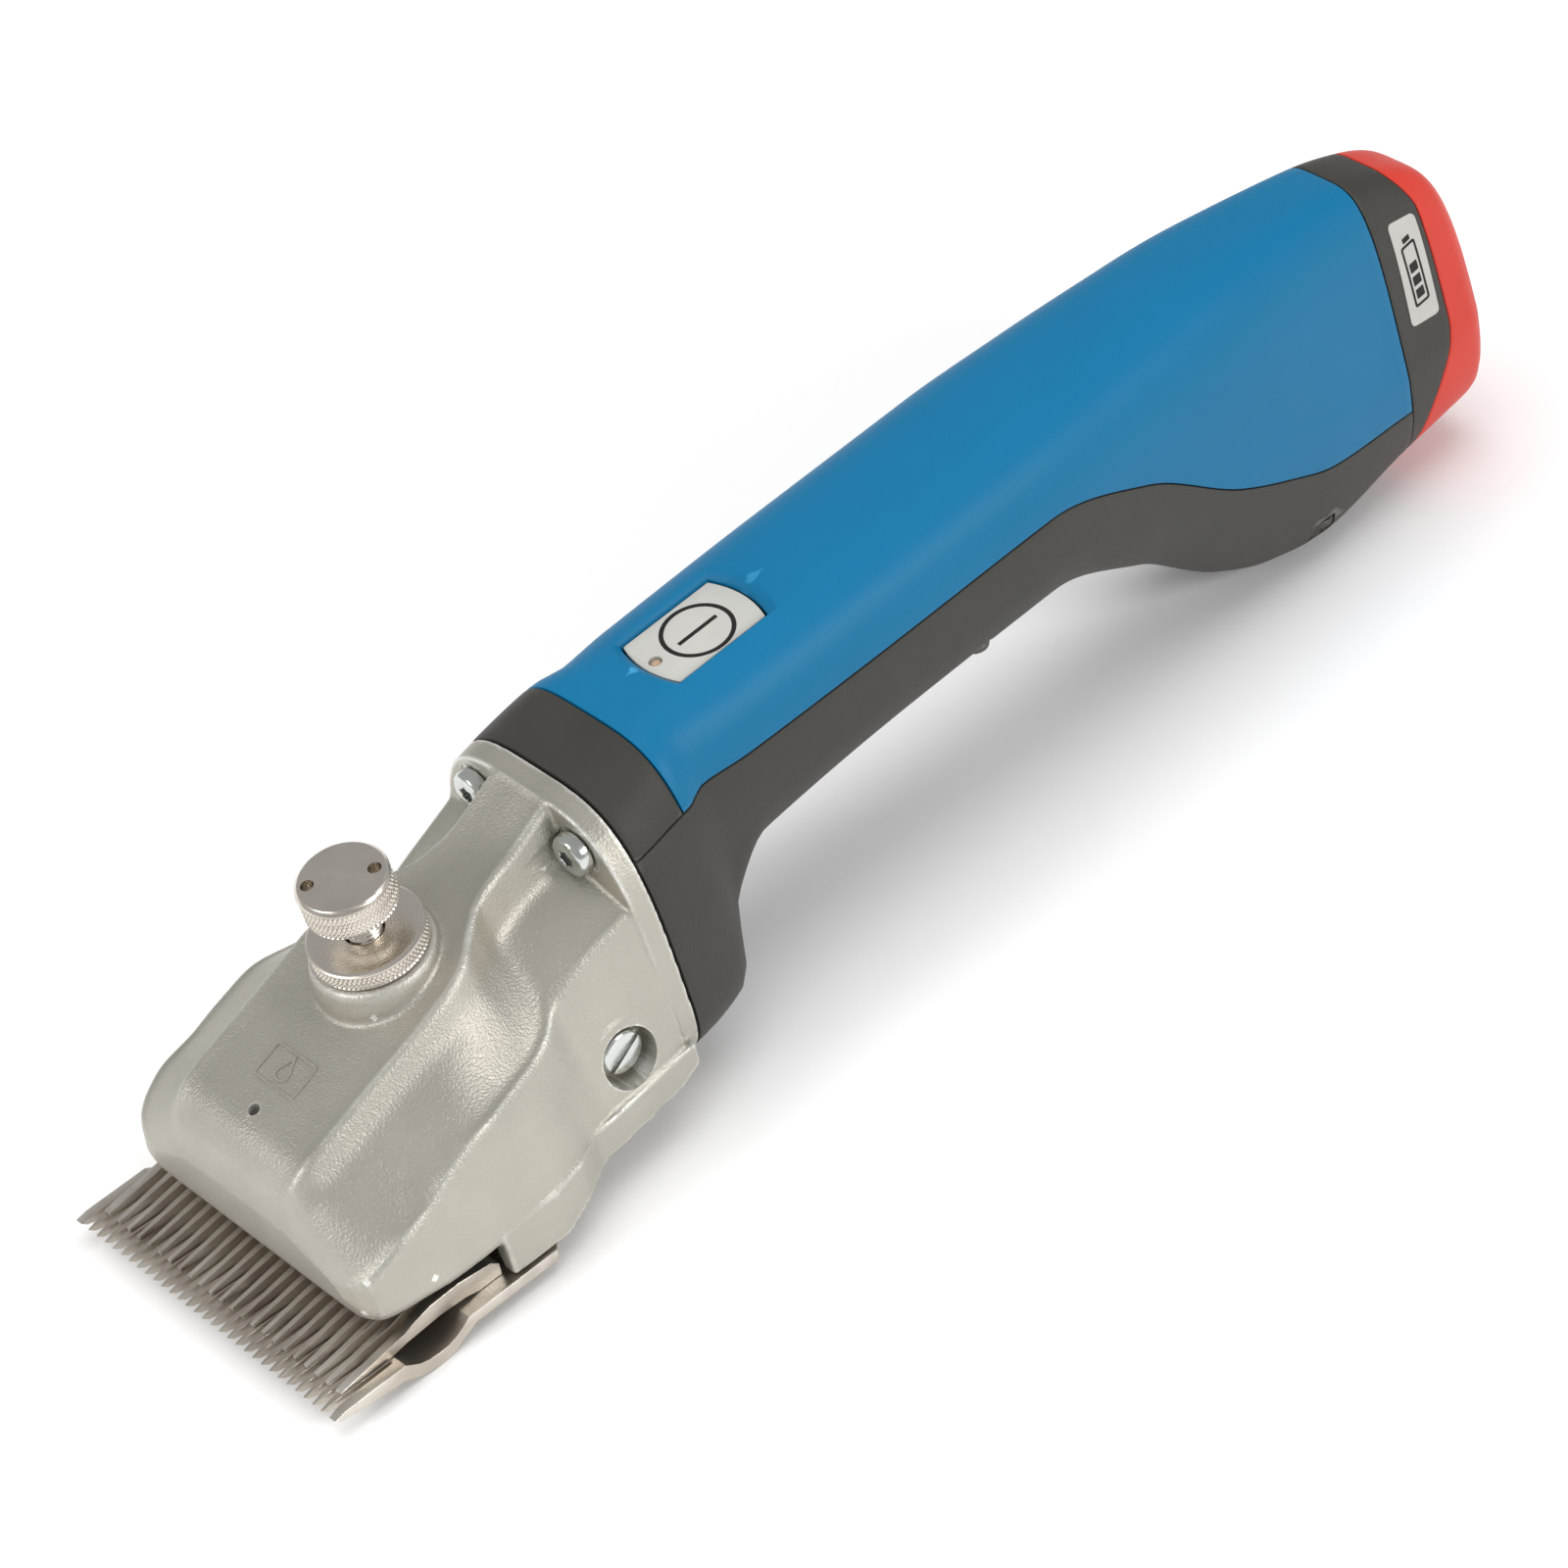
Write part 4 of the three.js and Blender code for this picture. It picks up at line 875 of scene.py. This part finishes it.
ring_count, ring_relief = knurl(RING_RADIUS, 0.34, -3.6, -0.7)
ring_profile = [(NECK_RADIUS + 0.35, -4.2), (RING_RADIUS - 0.6, -4.2), (RING_RADIUS - 0.05, -3.8)]
ring_profile += knurled_band(RING_RADIUS, -3.6, -0.7, ring_relief)
ring_profile += [(RING_RADIUS - 0.05, -0.5), (RING_RADIUS - 0.6, -0.05), (RING_RADIUS - 0.8, 0),
                 (NECK_RADIUS + 0.6, 0), (NECK_RADIUS + 0.35, -0.3)]
ring = revolved("knurled_ring", ring_profile, ring_count, tension_frame)
finished(ring, "lock ring", "turned_steel", ["lock_ring"], angle=28)

# ---------------------------------------------------------------- handle shells


def shell(name, xs, above):
    """The part of the handle's wall above or below the parting line."""
    outer, inner = [], []
    for x in xs:
        for grid, inset in ((outer, 0.0), (inner, SHELL_WALL)):
            z = handle_row(x)[8] + (GAP / 2 if above else -GAP / 2)
            edge = handle_angle(x, z, inset)
            start, end = (edge, math.pi - edge) if above else (math.pi - edge, 2 * math.pi + edge)
            grid.append([handle_point(x, angle, inset) for angle in steps(start, end, (end - start) / 72)])
    return wall(name, outer, inner)


collar = shell("front_collar", steps(SHELL_FRONT, COLLAR_REAR, 1.6), above=True)
finished(softened(collar, 0.35), "housing", "black_plastic", ["collar"])

upper = shell("blue_shell", steps(COLLAR_REAR + GAP, SHELL_REAR, 2.2), above=True)


def pad_outline(grow=0.0):
    """The switch pad in plan: straight sides and bowed ends."""
    front, rear, half, _ = PAD
    rear_end = []
    for i in range(13):
        y = half * (1 - i / 6)
        bow = 1.6 * (1 - (y / half) ** 2)
        rear_end.append((rear - 1.6 + bow + grow, y * (1 + grow / half)))
    return rear_end + [(front + rear - x, -y) for x, y in rear_end]


pad_face = PAD[3]
pocket_rings = []
for rise, grow in ((-1.8, 0.3), (0.1, 0.4), (0.6, 0.7), (1.1, 1.2), (1.6, 1.9), (2.1, 2.8), (3.4, 5.6)):
    pocket_rings.append([(x, y, pad_face + rise) for x, y in pad_outline(grow)])
softened(upper, 0.3, angle=45)
combined(upper, [loft("pocket", pocket_rings)])
finished(upper, "housing", "blue_plastic", ["upper_shell"], angle=30)

lower = shell("black_shell", steps(SHELL_FRONT, SHELL_REAR, 2.2), above=False)
wells, pockets = [], []
for x, y, seat in SHELL_SCREWS.values():
    for _, side in SIDES:
        wells.append(rod("well", (x, side * y, seat - 26), (x, side * y, seat + 2), WELL_RADIUS))
        pockets.append(rod("pocket", (x, side * y, seat - 28), (x, side * y, seat), POCKET_RADIUS))
within = loft("within", [handle_ring(x, 0.5) for x in steps(180, 300, 3)])
combined(lower, [combined(merge(*wells), [within], "INTERSECT")], "UNION")
combined(lower, [merge(*pockets)])
table_line = math.sin(pitch), math.cos(pitch)
for vertex in lower.data.vertices:
    lowest = (-TABLE_DROP - vertex.co.x * table_line[0]) / table_line[1]
    vertex.co.z = max(vertex.co.z, lowest)
finished(softened(lower, 0.3, angle=45), "housing", "black_plastic", ["lower_shell"], angle=30)

# ---------------------------------------------------------------- switch


def on_pad(pair, lift):
    return (pair[0], pair[1], pad_face + lift)


pad = softened(prism("switch_cover", pad_outline(-0.05), pad_face - 1.1, pad_face), 0.2)
combined(pad, [rod("window", (LED_X, 0, 50), (LED_X, 0, 64), 1.35)])
finished(pad, "switch pad", "pale_plastic", ["switch_pad"])


def circle(cx, cy, radius, count=64):
    return [(cx + radius * math.cos(2 * math.pi * i / count), cy + radius * math.sin(2 * math.pi * i / count))
            for i in range(count)]


INK_LIFT = (-0.1, 0.04)
ring_mark = strip("switch_mark_ring", circle(*SWITCH_MARK, 7.3), circle(*SWITCH_MARK, 6.4), on_pad, *INK_LIFT)
bar_mark = plate("switch_mark_bar", rectangle(*SWITCH_MARK, 4.8, 0.45, 0.15), on_pad, *INK_LIFT)
for mark in (ring_mark, bar_mark):
    finished(mark, "switch pad", "pale_plastic", look="ink")
lens_profile = [(0, 57.1), (1.1, 57.1), (1.1, pad_face - 0.6), (0.8, pad_face - 0.35), (0, pad_face - 0.2)]
lens = revolved("led_window", lens_profile, 32, Matrix.Translation((LED_X, 0, 0)))
finished(lens, "housing", "led_lens", ["status_led"])

# ---------------------------------------------------------------- battery

band_front = SHELL_REAR + GAP
turn_angles = [2 * math.pi * (i + 0.5) / 120 for i in range(120)]


def seam_at(angle):
    """Where the seam between band and cap crosses this angle of the section."""
    return read_table(SEAM, handle_point(320, angle)[2])[1]


def pack_grid(inset, start, end, count):
    """Rows of points over the pack's skin; start and end give x for an angle."""
    rows = []
    for r in range(count + 1):
        t = r / count
        rows.append([handle_point((1 - t) * start(a) + t * end(a), a, inset) for a in turn_angles])
    return rows


band = wall(
    "battery_band",
    pack_grid(0, lambda a: band_front, lambda a: seam_at(a) - GAP / 2, 10),
    pack_grid(2.4, lambda a: band_front, lambda a: seam_at(a) - GAP / 2, 10),
    wrap=True,
)
softened(band, 0.3, angle=50)


def mouth_bar(name, x0, x1, inset, half):
    """A bar with the cross-section of the handle's rear opening, cut to a width."""
    mouth = handle_ring(SHELL_REAR, inset, 96)
    ring = [(max(-half, min(half, y)), z) for _, y, z in mouth]
    return loft(name, [[(x, y, z) for y, z in ring] for x in (x0, x1)])


insert = mouth_bar("insert", INSERT_FRONT, band_front + 0.6, SHELL_WALL + 1.6, 10.7)
combined(insert, [mouth_bar("hollow", INSERT_FRONT + 2, band_front + 3, SHELL_WALL + 2.8, 9.2)])
slot_front, slot_rear = INSERT_FRONT - 4, INSERT_FRONT + 4
slot_plan = [(slot_front, -4.6), (slot_rear, -4.6), (slot_rear, 4.6), (slot_front, 4.6)]
slots = [prism("slot", slot_plan, z - 1.1, z + 1.1) for z in (26, 33, 40)]
combined(insert, slots)
softened(insert, 0.4, angle=50)
front_wall = loft("front_wall", [handle_ring(x, 1) for x in (band_front + 0.05, band_front + 1.6)])
case = merge(band, insert, front_wall)
finished(case, "battery", "black_plastic", ["battery_case"])

end_round = 2.2


def cap_rows(inset, end):
    """The cap's skin from the seam to its rounded end."""
    rows = pack_grid(inset, lambda a: seam_at(a) + GAP / 2, lambda a: end - end_round, 12)
    for k in range(1, 7):
        lean = math.radians(15 * k)
        x = end - end_round * (1 - math.sin(lean))
        rows.append([handle_point(x, a, inset + end_round * (1 - math.cos(lean))) for a in turn_angles])
    for shrink in (4, 7, 10, 12.5):
        rows.append([handle_point(end, a, inset + shrink) for a in turn_angles])
    return rows


cap = wall("battery_end", cap_rows(0, PACK_REAR), cap_rows(2.4, PACK_REAR - 4), wrap=True, closed_end=True)
softened(cap, 0.25, angle=60)
finished(cap, "battery", "red_plastic", ["battery_cap"], angle=50)

# ---------------------------------------------------------------- battery label


def on_flank(pair, lift):
    """A point on the pack's right flank, for a pair of x and z."""
    x, z = pair
    angle = math.pi - handle_angle(x, z)
    _, y, height = handle_point(x, angle)
    return (x, y - lift, height)


label_plan = rounded([(313.5, 20.7), (321.7, 19.3), (322.3, 42.3), (314.3, 44.3)], 1.4)
label = plate("battery_sticker", label_plan, on_flank, -0.4, 0.12)
finished(label, "battery", "pale_plastic", ["battery_label"])
ICON_LIFT = (0.0, 0.17)
icon_outer = rectangle(ICON_X, 31, 2.2, 7, 0.7)
icon_inner = rectangle(ICON_X, 31, 1.65, 6.45, 0.4)
icon_parts = [
    strip("icon_frame", icon_outer, icon_inner, on_flank, *ICON_LIFT),
    plate("icon_tip", rectangle(ICON_X, 39, 1.1, 0.55, 0.2), on_flank, *ICON_LIFT),
]
for z in (26.6, 29.6, 32.6):
    icon_parts.append(plate("icon_bar", rectangle(ICON_X, z, 1.15, 1.05, 0.2), on_flank, *ICON_LIFT))
finished(merge(*icon_parts), "battery", "pale_plastic", look="ink").name = "battery_icon"

# ---------------------------------------------------------------- carried-over nodes

for part in frame["record"]["subparts"]:
    node = frame["nodes"][part["node"]]
    node.data.materials.clear()
    node.data.materials.append(LOOKS[part["material_slot"]])

# ---------------------------------------------------------------- stage, light and camera

floor_mesh = bpy.data.meshes.new("floor")
floor_mesh.from_pydata([(-9, -9, 0), (9, -9, 0), (9, 9, 0), (-9, 9, 0)], [], [(0, 1, 2, 3)])
floor = bpy.data.objects.new("floor", floor_mesh)
bpy.context.scene.collection.objects.link(floor)
floor.location.z = cad_box[0][2] - 0.0003
paper = bpy.data.materials.new("paper")
paper.use_nodes = True
paper_shader = paper.node_tree.nodes["Principled BSDF"]
paper_shader.inputs["Base Color"].default_value = (0.97, 0.97, 0.97, 1)
paper_shader.inputs["Roughness"].default_value = 0.9
floor.data.materials.append(paper)

world = bpy.data.worlds.new("studio")
world.use_nodes = True
sky = world.node_tree.nodes["Background"]
sky.inputs["Color"].default_value = (1, 1, 1, 1)
sky.inputs["Strength"].default_value = 0.42
bpy.context.scene.world = world
bpy.context.scene.view_settings.view_transform = "Standard"


def soft_light(name, place, power, size, aim=(0, 0, 0.03)):
    lamp = bpy.data.lights.new(name, "AREA")
    lamp.energy = power
    lamp.shape = "DISK"
    lamp.size = size
    light = bpy.data.objects.new(name, lamp)
    bpy.context.scene.collection.objects.link(light)
    light.location = place
    light.rotation_euler = (Vector(aim) - Vector(place)).to_track_quat("-Z", "Y").to_euler()
    return light


overhead = soft_light("overhead", (0, 0, 1.7), 19, 1.8)
overhead.visible_glossy = False  # so that level metal faces stay darker than upright ones
soft_light("side", (0.5, -1.5, 0.9), 12, 0.5)
soft_light("front", (-1.4, 0.3, 0.9), 7, 0.5)

VIEW_AZIMUTH = math.radians(-35.5)
VIEW_ELEVATION = math.radians(41.2)
VIEW_ROLL = math.radians(-11.5)
VIEW_DISTANCE = 0.972
LENS_MM = 117.74
SENSOR_MM = 36
aim = Vector((-0.0196, -0.0029, 0.030))
back = Vector((
    math.sin(VIEW_AZIMUTH) * math.cos(VIEW_ELEVATION),
    -math.cos(VIEW_AZIMUTH) * math.cos(VIEW_ELEVATION),
    math.sin(VIEW_ELEVATION),
))
level = Vector((math.cos(VIEW_AZIMUTH), math.sin(VIEW_AZIMUTH), 0))
rise = back.cross(level)
right = math.cos(VIEW_ROLL) * level + math.sin(VIEW_ROLL) * rise
up = back.cross(right)
lens_data = bpy.data.cameras.new("camera")
lens_data.lens = LENS_MM
lens_data.sensor_width = SENSOR_MM
camera = bpy.data.objects.new("camera", lens_data)
bpy.context.scene.collection.objects.link(camera)
pose = Matrix((right, up, back)).transposed().to_4x4()
camera.matrix_world = Matrix.Translation(aim + back * VIEW_DISTANCE) @ pose
bpy.context.scene.camera = camera
